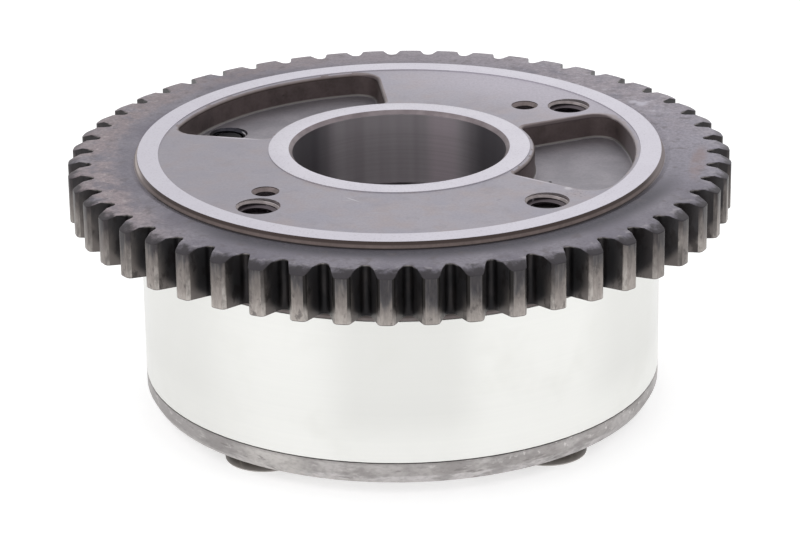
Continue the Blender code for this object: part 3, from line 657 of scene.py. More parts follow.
def ground_steel(colour):
    """Ground sintered steel: bright, with fine open pores, a faint cloudy lay and a painted highlight towards
    the back.
    """
    material, tree, place = start_finish("ground_sintered_steel", 1.0, 0.42)
    clouds = patches(tree, place, 6.0 * MM, 0.35, 0.7, 0.4)
    # Pores are about 0.05 mm, drawn as 0.3 mm specks so that they show
    pores = patches(tree, place, 0.3 * MM, 0.5, 0.8, 0.6, detail=2.0)
    # Painted highlight: the back of the rings is lighter
    back = zone(tree, place, ("Y", 0.0, 30.0 * MM, 0.8))
    hub = zone(tree, place, ("R", 24.0 * MM, 22.0 * MM))
    tone = layered(tree, colour, (back, "cac7d0"), (hub, "cac7cf"), (clouds, "bfbbc5"), (pores, "a6a2aa"))
    return end_finish(material, tone, pores, -0.004 * MM)


def web_steel(colour):
    """Sized sintered steel: satin grey with warm and cool clouds, a painted highlight at the back right, and
    scratches.
    """
    material, tree, place = start_finish("satin_sintered_steel", 1.0, 0.5)
    # Painted highlight at the back right
    back_right_highlight = zone(
        tree, place, ("Y", -10.0 * MM, 32.0 * MM), ("X", -15.0 * MM, 20.0 * MM),
        ("R", 19.0 * MM, 34.0 * MM),
    )
    warm = patches(tree, place, 5.0 * MM, 0.42, 0.68, 0.7)
    cool = patches(tree, place, 8.0 * MM, 0.42, 0.7, 0.7, offset=3.0)
    dark = patches(tree, place, 3.0 * MM, 0.5, 0.75, 0.4, offset=12.0)
    # Grain is about 0.05 mm, drawn as 0.4 mm so that it shows
    grain = patches(tree, place, 0.4 * MM, 0.3, 0.8, 0.35, detail=2.0)
    scratches = patches(tree, place, 1.2 * MM, 0.66, 0.74, 0.35, stretch=(0.25, 2.5, 1.0), offset=7.0)
    level = SPROCKET_HIGH.z
    long_scratch = mark(
        tree, place, (-7.0 * MM, -22.7 * MM, level), math.radians(-43.0), (1.8 * MM, 0.12 * MM, 1.0), 0.6
    )
    smear = mark(tree, place, (25.1 * MM, -19.2 * MM, level), 0.0, (0.8 * MM, 0.9 * MM, 1.0), 0.6)
    specks = zone(
        tree, place,
        mark(tree, place, (26.3 * MM, -21.3 * MM, level), 0.0, (2.2 * MM, 2.2 * MM, 1.0), 0.7),
        patches(tree, place, 0.5 * MM, 0.55, 0.65, detail=2.0, offset=4.0),
    )
    # The edges of the pockets' front ends catch a line of light
    line = (5.0 * MM, 0.3 * MM, 1.0)
    left_line = mark(tree, place, (-25.5 * MM, 5.2 * MM, level), math.radians(-13.2), line, 0.8)
    right_line = mark(tree, place, (20.3 * MM, -15.45 * MM, level), math.radians(-35.6), line, 0.6)
    left = zone(tree, place, ("X", -8.0 * MM, -28.0 * MM, 0.35))
    dash = mark(
        tree, place, (14.6 * MM, -23.6 * MM, level), math.radians(38.0), (0.7 * MM, 0.12 * MM, 1.0), 0.6
    )
    tone = layered(
        tree, colour, (warm, "a49a9c"), (cool, "9a98a3"), (dark, "8f8b91"), (back_right_highlight, "b5b0ba"),
        (left, "8f8b92"), (grain, "88848c"), (scratches, "c8c5c8"), (long_scratch, "d4d2d8"),
        (dash, "716c74"), (smear, "c9c6cb"), (specks, "69656c"), (left_line, "c8c4cc"),
        (right_line, "c4c0c8"),
    )
    return end_finish(material, tone, grain, 0.004 * MM)


def gear_face_steel(colour):
    """Steam treated steel: blue grey clouds, beige around the roots, dark down the tip chamfers, painted
    shade by the boss at the front and painted highlights on the right and at the back.
    """
    material, tree, place = start_finish("steam_treated_steel", 0.95, 0.5)
    radius = measure(tree, place, "R")
    ragged = patches(tree, place, 1.6 * MM, 0.3, 0.75, 1.6 * MM, offset=15.0, detail=5.0)
    torn = add_node(tree, "ShaderNodeMath", {0: radius, 1: ragged}, operation="ADD").outputs[0]
    front = zone(tree, place, ("Y", 10.0 * MM, -25.0 * MM))
    left = zone(tree, place, ("X", -28.0 * MM, -44.0 * MM))
    back_left = zone(tree, place, ("X", 12.0 * MM, -25.0 * MM), ("Y", -5.0 * MM, 18.0 * MM))
    right_back = zone(tree, place, ("Y", -10.0 * MM, 30.0 * MM), ("X", 5.0 * MM, 30.0 * MM))
    # Painted highlight on the right
    right = zone(
        tree, place, ("X", 22.0 * MM, 42.0 * MM, 0.5), ("Y", -22.0 * MM, -8.0 * MM),
        ("Y", 30.0 * MM, 14.0 * MM),
    )
    # Painted highlight at the back
    back = zone(tree, place, ("Y", 38.0 * MM, 46.0 * MM, 0.45))
    # Painted shade beside the boss wall
    boss_shade = zone(tree, place, ("R", 46.3 * MM, 43.0 * MM))
    by_roots = zone(tree, place, (torn, 43.2 * MM, 46.8 * MM))
    bias = zone(tree, place, ("Y", -25.0 * MM, -46.0 * MM, 0.5 * MM))
    further = add_node(tree, "ShaderNodeMath", {0: torn, 1: bias}, operation="ADD").outputs[0]
    down_tip = zone(tree, place, (further, 49.5 * MM, 51.2 * MM))
    clouds = patches(tree, place, 9.0 * MM, 0.36, 0.62, 0.8)
    beige = patches(tree, place, 4.0 * MM, 0.32, 0.58, 0.75, offset=5.0, detail=6.0)
    smears = patches(tree, place, 1.4 * MM, 0.52, 0.68, 0.5, offset=9.0, detail=6.0)
    dirt = patches(tree, place, 2.0 * MM, 0.52, 0.72, 0.6, offset=1.0, detail=6.0)
    # Grain is about 0.05 mm, drawn as 0.4 mm so that it shows
    grain = patches(tree, place, 0.4 * MM, 0.3, 0.75, 0.5, detail=3.0)
    specks = patches(tree, place, 0.7 * MM, 0.66, 0.74, 0.6, offset=2.0)
    pale_fringe = zone(
        tree, place, ("R", 47.6 * MM, 48.4 * MM), ("R", 49.6 * MM, 48.9 * MM),
        patches(tree, place, 1.2 * MM, 0.5, 0.64, 0.35, offset=21.0, detail=5.0),
    )
    level = SPROCKET_HIGH.z
    stains = mark(
        tree, place, (45.5 * MM, -7.0 * MM, level), math.radians(81.0), (10.0 * MM, 1.7 * MM, 1.0), 0.75
    )
    smudge = mark(
        tree, place, (39.6 * MM, 19.5 * MM, level), math.radians(-51.0), (6.0 * MM, 2.4 * MM, 1.0), 1.0
    )
    smudges = zone(tree, place, smudge, patches(tree, place, 2.5 * MM, 0.44, 0.64, 0.7, offset=17.0))
    tone = layered(
        tree, colour,
        (clouds, "726e79"),
        (zone(tree, place, boss_shade, front, ("X", -36.0 * MM, -22.0 * MM)), "4a4850"),
        (right, "a29eaa"),
        (back, "aaa1a6"),
        (zone(tree, place, by_roots, beige, left), "a8999a"),
        (zone(tree, place, by_roots, beige, back_left), "8d8183"),
        (zone(tree, place, beige, right_back), "a39aa0"),
        (zone(tree, place, by_roots, smears, left), "bdb4b5"),
        (zone(tree, place, smears, right_back), "b9b5be"),
        (dirt, "5e5759"),
        (grain, "625f68"),
        (specks, "4b464a"),
        (zone(tree, place, down_tip, ("Y", 35.0 * MM, -20.0 * MM, 0.94)), "403d40"),
        (pale_fringe, "a9a4a8"),
        (zone(tree, place, stains, beige), "85716f"),
        (smudges, "b9b6c1"),
    )
    return end_finish(material, tone, grain, 0.006 * MM)


def worn_height(tree, place):
    """Height on a tooth, raised where its oxide has lasted longer and, on the front teeth, for painted shade.
    """
    # The front teeth are raised so that they stay darker: painted shade
    front = zone(
        tree, place, ("Y", -46.0 * MM, -50.0 * MM, 1.8 * MM), ("X", -8.0 * MM, -3.0 * MM),
        ("X", 22.0 * MM, 17.0 * MM),
    )
    # Those to the right of them have lost more
    bare = zone(tree, place, ("Y", -37.0 * MM, -42.0 * MM), ("X", 20.0 * MM, 27.0 * MM, -1.2 * MM))
    each = patches(tree, place, 5.0 * MM, 0.3, 0.7, 1.6 * MM, stretch=(1.0, 1.0, 0.1))
    streaks = patches(
        tree, place, 0.7 * MM, 0.3, 0.7, 1.6 * MM, stretch=(1.0, 1.0, 0.25), detail=5.0, offset=3.0
    )
    height = measure(tree, place, "Z")
    for more in (front, bare, each, streaks):
        height = add_node(tree, "ShaderNodeMath", {0: height, 1: more}, operation="ADD").outputs[0]
    return height


def tooth_tip_steel():
    """Tooth tips: black oxide above, worn through to grey steel below and lighter there with painted bounce
    light, with the marks of the chain.
    """
    material, tree, place = start_finish("worn_tooth_steel", 0.9, 0.45)
    # The ramp is wear, and its light lower end is also painted bounce light
    share = add_node(
        tree, "ShaderNodeMapRange",
        {"Value": worn_height(tree, place), "From Min": 40.4 * MM, "From Max": 32.8 * MM},
    ).outputs[0]
    bare = add_node(
        tree, "ShaderNodeValToRGB", {"Fac": share},
        stops=[(0.0, "424043"), (0.15, "514f51"), (0.38, "78726f"), (0.7, "938c88"), (1.0, "b0a9a4")],
    ).outputs[0]
    lines = patches(tree, place, 0.35 * MM, 0.5, 0.75, 0.2, stretch=(1.0, 1.0, 0.05), offset=2.0)
    smears = patches(tree, place, 1.2 * MM, 0.56, 0.68, 0.6, stretch=(1.0, 1.0, 0.6), detail=5.0, offset=6.0)
    grain = patches(tree, place, 0.4 * MM, 0.35, 0.75, 0.3, stretch=(1.0, 1.0, 0.4))
    # Painted bounce light at the foot of the front teeth
    front_foot_highlight = zone(tree, place, ("Y", -43.0 * MM, -49.0 * MM, 0.35), ("Z", 35.5 * MM, 32.4 * MM))
    # Painted shade on the teeth at the sides
    side_shade = zone(tree, place, shaded_sides(tree, place), ("X", 47.5 * MM, 43.0 * MM, 0.7))
    tone = layered(
        tree, bare, (front_foot_highlight, "c3bcb6"), (lines, "a8a19c"), (smears, "4a4646"), (grain, "5c5755"),
        (side_shade, "403c3c"),
    )
    return end_finish(material, tone)


def shaded_sides(tree, place):
    """The teeth at the two sides, most of all on the right, are darkened in patches: painted shade."""
    # Patches of painted shade
    stains = patches(tree, place, 2.5 * MM, 0.25, 0.6, stretch=(1.0, 1.0, 0.5), offset=13.0, detail=5.0)
    right = zone(tree, place, ("X", 30.0 * MM, 42.0 * MM, 0.7))
    left = zone(tree, place, ("X", -36.0 * MM, -46.0 * MM, 0.5))
    sides = add_node(tree, "ShaderNodeMath", {0: right, 1: left}, operation="ADD").outputs[0]
    return zone(tree, place, stains, sides)


def tooth_gap_oxide(colour):
    """Tooth flanks and roots: black steam oxide rubbed paler towards the tips, with painted shade in the
    roots and at the sides, painted bounce light along the lower edge and a painted highlight at the top of
    the roots.
    """
    material, tree, place = start_finish("black_steam_oxide", 0.6, 0.42)
    # The porous oxide reflects less than a smooth coat
    tree.nodes["Principled BSDF"].inputs["Specular IOR Level"].default_value = 0.3
    height = worn_height(tree, place)
    level = measure(tree, place, "Z")
    radius = measure(tree, place, "R")
    # Painted shade deep in the roots
    root = zone(tree, place, ("R", 48.3 * MM, 47.8 * MM, 0.95))
    clouds = patches(tree, place, 2.0 * MM, 0.4, 0.75, 0.5, stretch=(1.0, 1.0, 0.4))
    dirt = patches(tree, place, 1.8 * MM, 0.5, 0.62, 0.65, stretch=(1.0, 1.0, 0.5), offset=8.0, detail=5.0)
    outer = zone(tree, place, ("R", 48.9 * MM, 50.8 * MM))
    rubbed = zone(tree, place, (height, 41.0 * MM, 36.0 * MM), ("X", 36.0 * MM, 24.0 * MM, 0.6))
    # The pale foot is painted bounce light, and climbs towards the tip
    slanting = add_node(tree, "ShaderNodeMath", {0: level, 1: radius}, operation="SUBTRACT").outputs[0]
    foot = zone(tree, place, (slanting, -15.2 * MM, -16.9 * MM), ("R", 47.6 * MM, 48.4 * MM, 0.75))
    # Painted highlight along the top of the roots
    root_top_highlight = zone(
        tree, place, ("Z", 39.45 * MM, 39.7 * MM), ("R", 48.8 * MM, 47.9 * MM),
        patches(tree, place, 1.5 * MM, 0.3, 0.55, 0.7, offset=19.0),
    )
    tone = layered(
        tree, colour, (root, "1a191b"), (clouds, "454040"), (zone(tree, place, outer, rubbed), "8b837e"),
        (shaded_sides(tree, place), "262223"), (foot, "746e6b"), (dirt, "2a2626"), (root_top_highlight, "a39d9c"),
    )
    return end_finish(material, tone)


def worn_corner_steel():
    """Rounded corners beside the tooth tips, rubbed by the chain and lighter below with painted bounce light,
    with painted shade on the front teeth and at the sides.
    """
    material, tree, place = start_finish("worn_corner_steel", 0.95, 0.45)
    # The ramp is wear, and its light lower end is also painted bounce light
    share = add_node(
        tree, "ShaderNodeMapRange",
        {"Value": worn_height(tree, place), "From Min": 40.0 * MM, "From Max": 33.4 * MM},
    ).outputs[0]
    rub = add_node(
        tree, "ShaderNodeValToRGB", {"Fac": share}, stops=[(0.0, "454245"), (0.3, "7c7673"), (1.0, "bab4af")]
    ).outputs[0]
    breaks = patches(tree, place, 1.0 * MM, 0.4, 0.65, 0.5, stretch=(1.0, 1.0, 0.5), detail=5.0)
    # Painted shade on the corners of the front teeth
    front = zone(tree, place, ("Y", -44.0 * MM, -49.0 * MM, 0.95), ("Z", 33.0 * MM, 35.0 * MM))
    tone = layered(tree, rub, (breaks, "4d4948"), (shaded_sides(tree, place), "3a3636"), (front, "2b2928"))
    return end_finish(material, tone)


def boss_wall_steel(colour):
    """Turned wall under the ground ring, stained brown by oil, with painted shade at its top and foot and
    painted highlights at the sides.
    """
    material, tree, place = start_finish("oil_stained_wall_steel", 0.8, 0.48)
    top = SPROCKET_HIGH.z
    # Painted shade under the ring and at the foot
    shade_under_ring = zone(tree, place, ("Z", top - 0.62 * MM, top - 0.4 * MM))
    shade_at_foot = zone(tree, place, ("Z", top - 0.86 * MM, top - 1.0 * MM))
    # Painted highlights at both sides, and a brighter one at the upper left
    side = zone(tree, place, ("W", 36.0 * MM, 40.5 * MM, 0.7))
    edge = zone(
        tree, place, ("X", -38.5 * MM, -40.0 * MM, 0.8), ("Z", top - 0.1 * MM, top - 0.35 * MM),
        ("Z", top - 0.9 * MM, top - 0.6 * MM),
    )
    clouds = patches(tree, place, 3.0 * MM, 0.35, 0.7, 0.6)
    grain = patches(tree, place, 0.5 * MM, 0.35, 0.75, 0.3)
    tone = layered(
        tree, colour, (clouds, "5a504e"), (grain, "80746f"), (shade_under_ring, "453b39"), (shade_at_foot, "2b2627"),
        (side, "9b9191"), (edge, "d6ccc6"),
    )
    return end_finish(material, tone)


def shoulder_steel():
    """Plain shoulder under the teeth: pressed steel with a thin dark oxide, and painted shade under the teeth
    above its lower edge.
    """
    material, tree, place = start_finish("oxidised_shoulder_steel", 0.9, 0.5)
    clouds = patches(tree, place, 2.0 * MM, 0.35, 0.7)
    # Painted shade under the teeth; only the lowest strip keeps the lighter steel
    upper = zone(tree, place, ("Z", SPROCKET_LOW.z + 0.1 * MM, SPROCKET_LOW.z + 0.6 * MM, 0.85))
    return end_finish(material, layered(tree, linear("787170"), (clouds, "655d5b"), (upper, "3d3736")))


def pocket_wall_steel(floor):
    """Walls of the pockets: steam treated and stained dark brown by oil, and worn greyer at their foot."""
    material, tree, place = start_finish("oil_stained_pocket_steel", 0.7, 0.48)
    clouds = patches(tree, place, 3.0 * MM, 0.35, 0.7)
    grain = patches(tree, place, 0.5 * MM, 0.35, 0.75, 0.3)
    dot = mark(
        tree, place, (-18.8 * MM, 31.8 * MM, floor + 1.8 * MM), 0.0, (0.5 * MM, 1.0 * MM, 0.3 * MM), 0.9
    )
    right = zone(tree, place, ("X", 34.6 * MM, 36.2 * MM, 0.6))
    foot = zone(tree, place, ("Z", floor + 0.4 * MM, floor + 0.2 * MM))
    tone = layered(
        tree, linear("665a59"), (clouds, "554b4a"), (grain, "766a68"), (right, "9b9294"), (foot, "6b6766"),
        (dot, "1f1b1b"),
    )
    return end_finish(material, tone, grain, 0.006 * MM)


def pocket_floor_steel():
    """Floors of the pockets: as pressed, a little darker than the sized web."""
    material, tree, place = start_finish("pressed_sintered_steel", 1.0, 0.52)
    clouds = patches(tree, place, 6.0 * MM, 0.35, 0.7)
    grain = patches(tree, place, 0.4 * MM, 0.3, 0.8, 0.35, detail=2.0)
    dot = mark(tree, place, (23.0 * MM, -6.2 * MM, SPROCKET_HIGH.z), 0.0, (0.35 * MM, 0.6 * MM, 1.0), 0.9)
    front_right = zone(tree, place, ("Y", -8.0 * MM, -14.0 * MM), ("X", 24.0 * MM, 30.0 * MM))
    tone = layered(
        tree, linear("9b979d"), (clouds, "8e8b91"), (front_right, "aaa6ac"), (grain, "7a777f"),
        (dot, "2b2a2e"),
    )
    return end_finish(material, tone, grain, 0.004 * MM)


def pocket_rim_steel():
    """Rounded pocket rims: satin steel above, with a brown film that covers those of the end walls."""
    material, tree, place = start_finish("rounded_rim_steel", 0.95, 0.45)
    top = SPROCKET_HIGH.z
    crossed = add_node(
        tree, "ShaderNodeVectorMath", {0: place, 1: place.node.outputs["Normal"]}, operation="CROSS_PRODUCT"
    ).outputs[0]
    sideways = add_node(
        tree, "ShaderNodeMath", {0: measure(tree, crossed, "Z")}, operation="ABSOLUTE"
    ).outputs[0]
    end_wall = zone(tree, place, (sideways, 8.0 * MM, 20.0 * MM))
    film = zone(tree, place, ("Z", top - 0.25 * MM, top - 0.65 * MM))
    right = zone(tree, place, ("X", 24.0 * MM, 32.0 * MM, 0.85))
    clouds = patches(tree, place, 3.0 * MM, 0.35, 0.7)
    tone = layered(
        tree, linear("8c8384"), (clouds, "7b7172"), (film, "514745"), (right, "a79fa2"),
        (end_wall, "564d4e"),
    )
    return end_finish(material, tone)


def bored_steel():
    """Finely bored steel under a thin oil film: painted reflection bands along the axis, a pale pink painted
    reflection right of the middle, and painted shade at its sides.
    """
    material, tree, place = start_finish("bored_steel", 0.5, 0.45)
    # Painted reflection bands along the axis
    reflection_bands = patches(tree, place, 4.0 * MM, 0.35, 0.65, 0.6, stretch=(1.0, 1.0, 0.03), detail=2.0)
    pink_reflection = zone(tree, place, ("X", 3.5 * MM, 6.0 * MM, 0.7), ("X", 10.5 * MM, 8.0 * MM))
    # Painted shade at the sides
    side = zone(tree, place, ("W", 9.0 * MM, 13.5 * MM, 0.85))
    rings = patches(tree, place, 3.0 * MM, 0.35, 0.7, 0.2, stretch=(0.03, 0.03, 8.0), detail=3.0, offset=5.0)
    tone = layered(
        tree, linear("a9a3a8"), (reflection_bands, "8f898d"), (pink_reflection, "cabdc5"), (rings, "7d7878"), (side, "48464b"),
    )
    return end_finish(material, tone)


def bore_chamfer_steel():
    """Turned chamfer of the bore: satin, with a thin brown film."""
    material, tree, place = start_finish("turned_chamfer_steel", 1.0, 0.45)
    clouds = patches(tree, place, 3.0 * MM, 0.35, 0.7)
    return end_finish(material, layered(tree, linear("887f82"), (clouds, "776e71")))


def thread_steel(spot, root):
    """Cut threads of one hole: a pale mouth, the grey start of the thread under it, and painted shade below.
    """
    material, tree, place = start_finish("cut_thread_steel", 1.0, 0.38)
    away = add_node(
        tree, "ShaderNodeVectorMath", {0: place, 1: (spot.x, spot.y, SPROCKET_HIGH.z)}, operation="SUBTRACT"
    ).outputs[0]
    across = measure(tree, away, "X")
    # The thread's start sinks towards +X
    height = add_node(
        tree, "ShaderNodeMath", {0: across, 1: TAPPED_TILT / root, 2: measure(tree, away, "Z")},
        operation="MULTIPLY_ADD",
    ).outputs[0]
    mouth = zone(tree, place, (height, -0.56 * MM, -0.46 * MM))
    # Painted shade deeper in the hole
    below = zone(tree, place, (height, -0.78 * MM, -0.93 * MM, 0.95))
    clouds = patches(tree, place, 1.0 * MM, 0.35, 0.7)
    tone = layered(tree, linear("918989"), (clouds, "7d7576"), (mouth, "d6ced0"), (below, "5c555a"))
    return end_finish(material, tone)


def drilled_steel():
    """Drilled and countersunk pin holes: satin brown grey at the mouth, and barer below."""
    material, tree, place = start_finish("drilled_hole_steel", 1.0, 0.42)
    below = zone(tree, place, ("Z", SPROCKET_HIGH.z - 0.75 * MM, SPROCKET_HIGH.z - 1.0 * MM, 0.8))
    clouds = patches(tree, place, 1.0 * MM, 0.35, 0.7)
    return end_finish(material, layered(tree, linear("7b7071"), (clouds, "6d6463"), (below, "8a8288")))


def shaded_thread_steel(spot):
    """The tapped hole in the pocket: painted black with shade, its threads catching painted light on the
    right.
    """
    material, tree, place = start_finish("shaded_thread_steel", 0.9, 0.35)
    away = add_node(
        tree, "ShaderNodeVectorMath", {0: place, 1: (spot.x, spot.y, 0.0)}, operation="SUBTRACT"
    ).outputs[0]
    turns = add_node(
        tree, "ShaderNodeMath", {0: measure(tree, away, "R"), 1: 0.25 * MM}, operation="PINGPONG"
    ).outputs[0]
    lit = zone(tree, away, (turns, 0.12 * MM, 0.22 * MM), ("X", 1.9 * MM, 2.5 * MM))
    clouds = patches(tree, place, 1.0 * MM, 0.35, 0.7)
    # The black is painted shade, the lit rings painted highlights
    return end_finish(material, layered(tree, linear("36353c"), (clouds, "25242b"), (lit, "d0cfd4")))


def turned_aluminium(colour):
    """Finely turned aluminium: near white, with a painted reflection band along the axis on each side,
    painted shade towards its outline and on the left, a painted reflection of the floor low down, and
    smudges.
    """
    material, tree, place = start_finish("turned_aluminium", 1.0, 0.4)
    # Painted reflection bands
    reflection_bands = zone(tree, place, ("W", 6.0 * MM, 14.0 * MM), ("W", 33.0 * MM, 25.0 * MM))
    # Painted shade towards the outline
    edges = zone(tree, place, ("W", 37.5 * MM, 39.5 * MM))
    # Painted reflection of the floor low down
    low = zone(tree, place, ("Z", 14.0 * MM, 7.0 * MM, 0.7))
    # Painted shade on the left
    left = zone(tree, place, ("X", -18.0 * MM, -32.0 * MM, 0.5))
    smudges = patches(tree, place, 12.0 * MM, 0.5, 0.75, 0.3, offset=3.0)
    # Lathe feed is about 0.15 mm, drawn as 0.5 mm rings so that it shows
    rings = patches(tree, place, 6.0 * MM, 0.3, 0.7, 0.05, stretch=(0.02, 0.02, 12.0), detail=2.0)
    tone = layered(
        tree, colour, (reflection_bands, "e9e9e6"), (edges, "e2e2e0"), (low, "efefec"), (left, "dadad7"),
        (smudges, "d8d8d3"), (rings, "d0d0cf"),
    )
    return end_finish(material, tone)


def plate_rim_steel(colour):
    """Turned steel plate: mid grey with darker smudges, scuffs and pale specks."""
    material, tree, place = start_finish("turned_plate_steel", 1.0, 0.42)
    low = PLATE_LOW.z
    high = PLATE_HIGH.z
    chamfer = zone(tree, place, ("Z", low + 1.5 * MM, low + 1.25 * MM))
    dull = zone(tree, place, chamfer, ("X", 28.0 * MM, 36.0 * MM, 0.8))
    left = zone(tree, place, ("X", -17.0 * MM, -30.0 * MM, 0.75))
    rim = zone(tree, place, ("Z", low + 0.8 * MM, low + 0.3 * MM, 0.7), ("X", 10.0 * MM, -10.0 * MM))
    worn = mark(
        tree, place, (-19.5 * MM, -35.4 * MM, low + 1.2 * MM), 0.0, (7.0 * MM, 12.0 * MM, 8.0 * MM), 0.75
    )
    clouds = patches(tree, place, 9.0 * MM, 0.4, 0.6, 0.6, stretch=(1.0, 1.0, 0.3))
    joint = zone(tree, place, ("Z", high - 0.5 * MM, high - 0.05 * MM, 0.35))
    scuffs = patches(tree, place, 3.0 * MM, 0.45, 0.6, 0.7, stretch=(0.6, 0.6, 1.4), detail=6.0)
    grain = patches(tree, place, 0.5 * MM, 0.4, 0.75, 0.45, stretch=(0.5, 0.5, 1.0), offset=8.0)
    # Chips stand in a row near the upper edge on the right
    chips = patches(tree, place, 0.9 * MM, 0.58, 0.7, 0.7, detail=4.0, offset=4.0)
    row = zone(tree, place, ("Z", high - 1.8 * MM, high - 1.0 * MM), ("X", 5.0 * MM, 20.0 * MM))
    scratches = patches(
        tree, place, 1.0 * MM, 0.58, 0.66, 0.6, stretch=(0.4, 0.4, 1.5), detail=4.0, offset=6.0
    )
    dark = patches(tree, place, 1.1 * MM, 0.6, 0.68, 0.6, stretch=(0.35, 0.35, 1.6), detail=4.0, offset=11.0)
    tone = layered(
        tree, colour, (clouds, "9b9695"), (chamfer, "cac6c6"), (left, "9b9796"), (dull, "a19d9c"),
        (scuffs, "959190"), (rim, "c6c2c0"), (worn, "c9c5c2"), (scratches, "c9c4c3"), (dark, "7b7675"),
        (grain, "8b8786"), (joint, "6f6b6a"), (zone(tree, place, chips, row), "dedad9"),
    )
    return end_finish(material, tone)


def bolt_phosphate(colour):
    """Manganese phosphate on the bolts: near black and matt, with a painted reflection of the floor on the
    lower head, a painted highlight along its foot and painted shade at the end.
    """
    material, tree, place = start_finish("phosphated_bolt_steel", 0.6, 0.5)
    # Painted reflection of the floor on the lower head, and a painted highlight along its foot
    lower = zone(tree, place, ("Z", 1.3 * MM, 0.0, 0.7))
    foot = zone(tree, place, ("Z", 0.34 * MM, 0.12 * MM, 0.85))
    # Painted shade on the end inside the tapped hole
    end = zone(tree, place, ("Z", BOLT_HIGH.z - 0.8 * MM, BOLT_HIGH.z - 0.6 * MM))
    clouds = patches(tree, place, 1.5 * MM, 0.4, 0.75)
    tone = layered(tree, colour, (clouds, "5d5751"), (lower, "8b8682"), (foot, "dad6d3"), (end, "17161b"))
    return end_finish(material, tone)


def rotor_steel():
    """Sized sintered steel of the rotor: even grey with fine pores."""
    material, tree, place = start_finish("sintered_rotor_steel", 1.0, 0.45)
    clouds = patches(tree, place, 5.0 * MM, 0.4, 0.7)
    pores = patches(tree, place, 0.4 * MM, 0.55, 0.75, 0.5)
    return end_finish(material, layered(tree, linear("a19d9f"), (clouds, "8f8b8d"), (pores, "6d696b")))


def hardened_steel():
    """Hardened and ground steel of the lock pin, its bush and its plug: bright and smooth."""
    material, tree, place = start_finish("hardened_ground_steel", 1.0, 0.25)
    rings = patches(tree, place, 0.5 * MM, 0.35, 0.7, stretch=(0.1, 0.1, 1.0))
    return end_finish(material, layered(tree, linear("aeacab"), (rings, "98959a")))


def spring_wire_steel():
    """Drawn spring steel: smooth, with a straw tint."""
    material, tree, place = start_finish("drawn_spring_steel", 1.0, 0.32)
    drawn = patches(tree, place, 0.8 * MM, 0.35, 0.7)
    return end_finish(material, layered(tree, linear("948d80"), (drawn, "7b756c")))


def seal_resin():
    """Moulded filled resin of the tip seals: matt dark brown with flow marks."""
    material, tree, place = start_finish("moulded_seal_resin", 0.0, 0.5)
    flow = patches(tree, place, 1.5 * MM, 0.35, 0.7)
    return end_finish(material, layered(tree, linear("3a2f28"), (flow, "4b3d33")))


# Pieces

def tooth_space(sizes):
    """Half a tooth space from its root to the middle of the tip, about +X.

    Returns (point, direction into the steel) for each column.
    """
    centre = Vector((sizes.root_radius + sizes.valley_radius, 0.0))
    columns = []
    arc_end = math.pi / 2.0 - sizes.flank_angle
    for step in range(ROUND_STEPS + 1):
        angle = arc_end * step / ROUND_STEPS
        inward = Vector((-math.cos(angle), math.sin(angle)))
        columns.append((centre + inward * sizes.valley_radius, inward))
    start, into_flank = columns[-1]
    flank = Vector((math.cos(sizes.flank_angle), math.sin(sizes.flank_angle)))

    def reach(origin, radius):
        along = origin.dot(flank)
        return origin + flank * (math.sqrt(along * along - origin.length_squared + radius * radius) - along)

    columns.append((reach(start, sizes.cone_start), into_flank))
    middle = reach(start + into_flank * sizes.tip_round, sizes.tip_radius - sizes.tip_round)
    first = -into_flank
    sweep = math.remainder(math.atan2(middle.y, middle.x) - math.atan2(first.y, first.x), math.tau)
    for step in range(ROUND_STEPS + 1):
        turn = Matrix.Rotation(sweep * step / ROUND_STEPS, 2)
        outward = turn @ first
        columns.append((middle + outward * sizes.tip_round, -outward))
    tip = polar(1.0, math.pi / sizes.teeth)
    columns.append((tip * sizes.tip_radius, -tip))
    return columns


def mirrored(column, turn):
    """The column on the other side of a tooth's middle line."""
    across = math.cos(2.0 * turn)
    along = math.sin(2.0 * turn)
    flip = Matrix(((across, along), (along, -across)))
    point, inward = column
    return flip @ point, flip @ inward


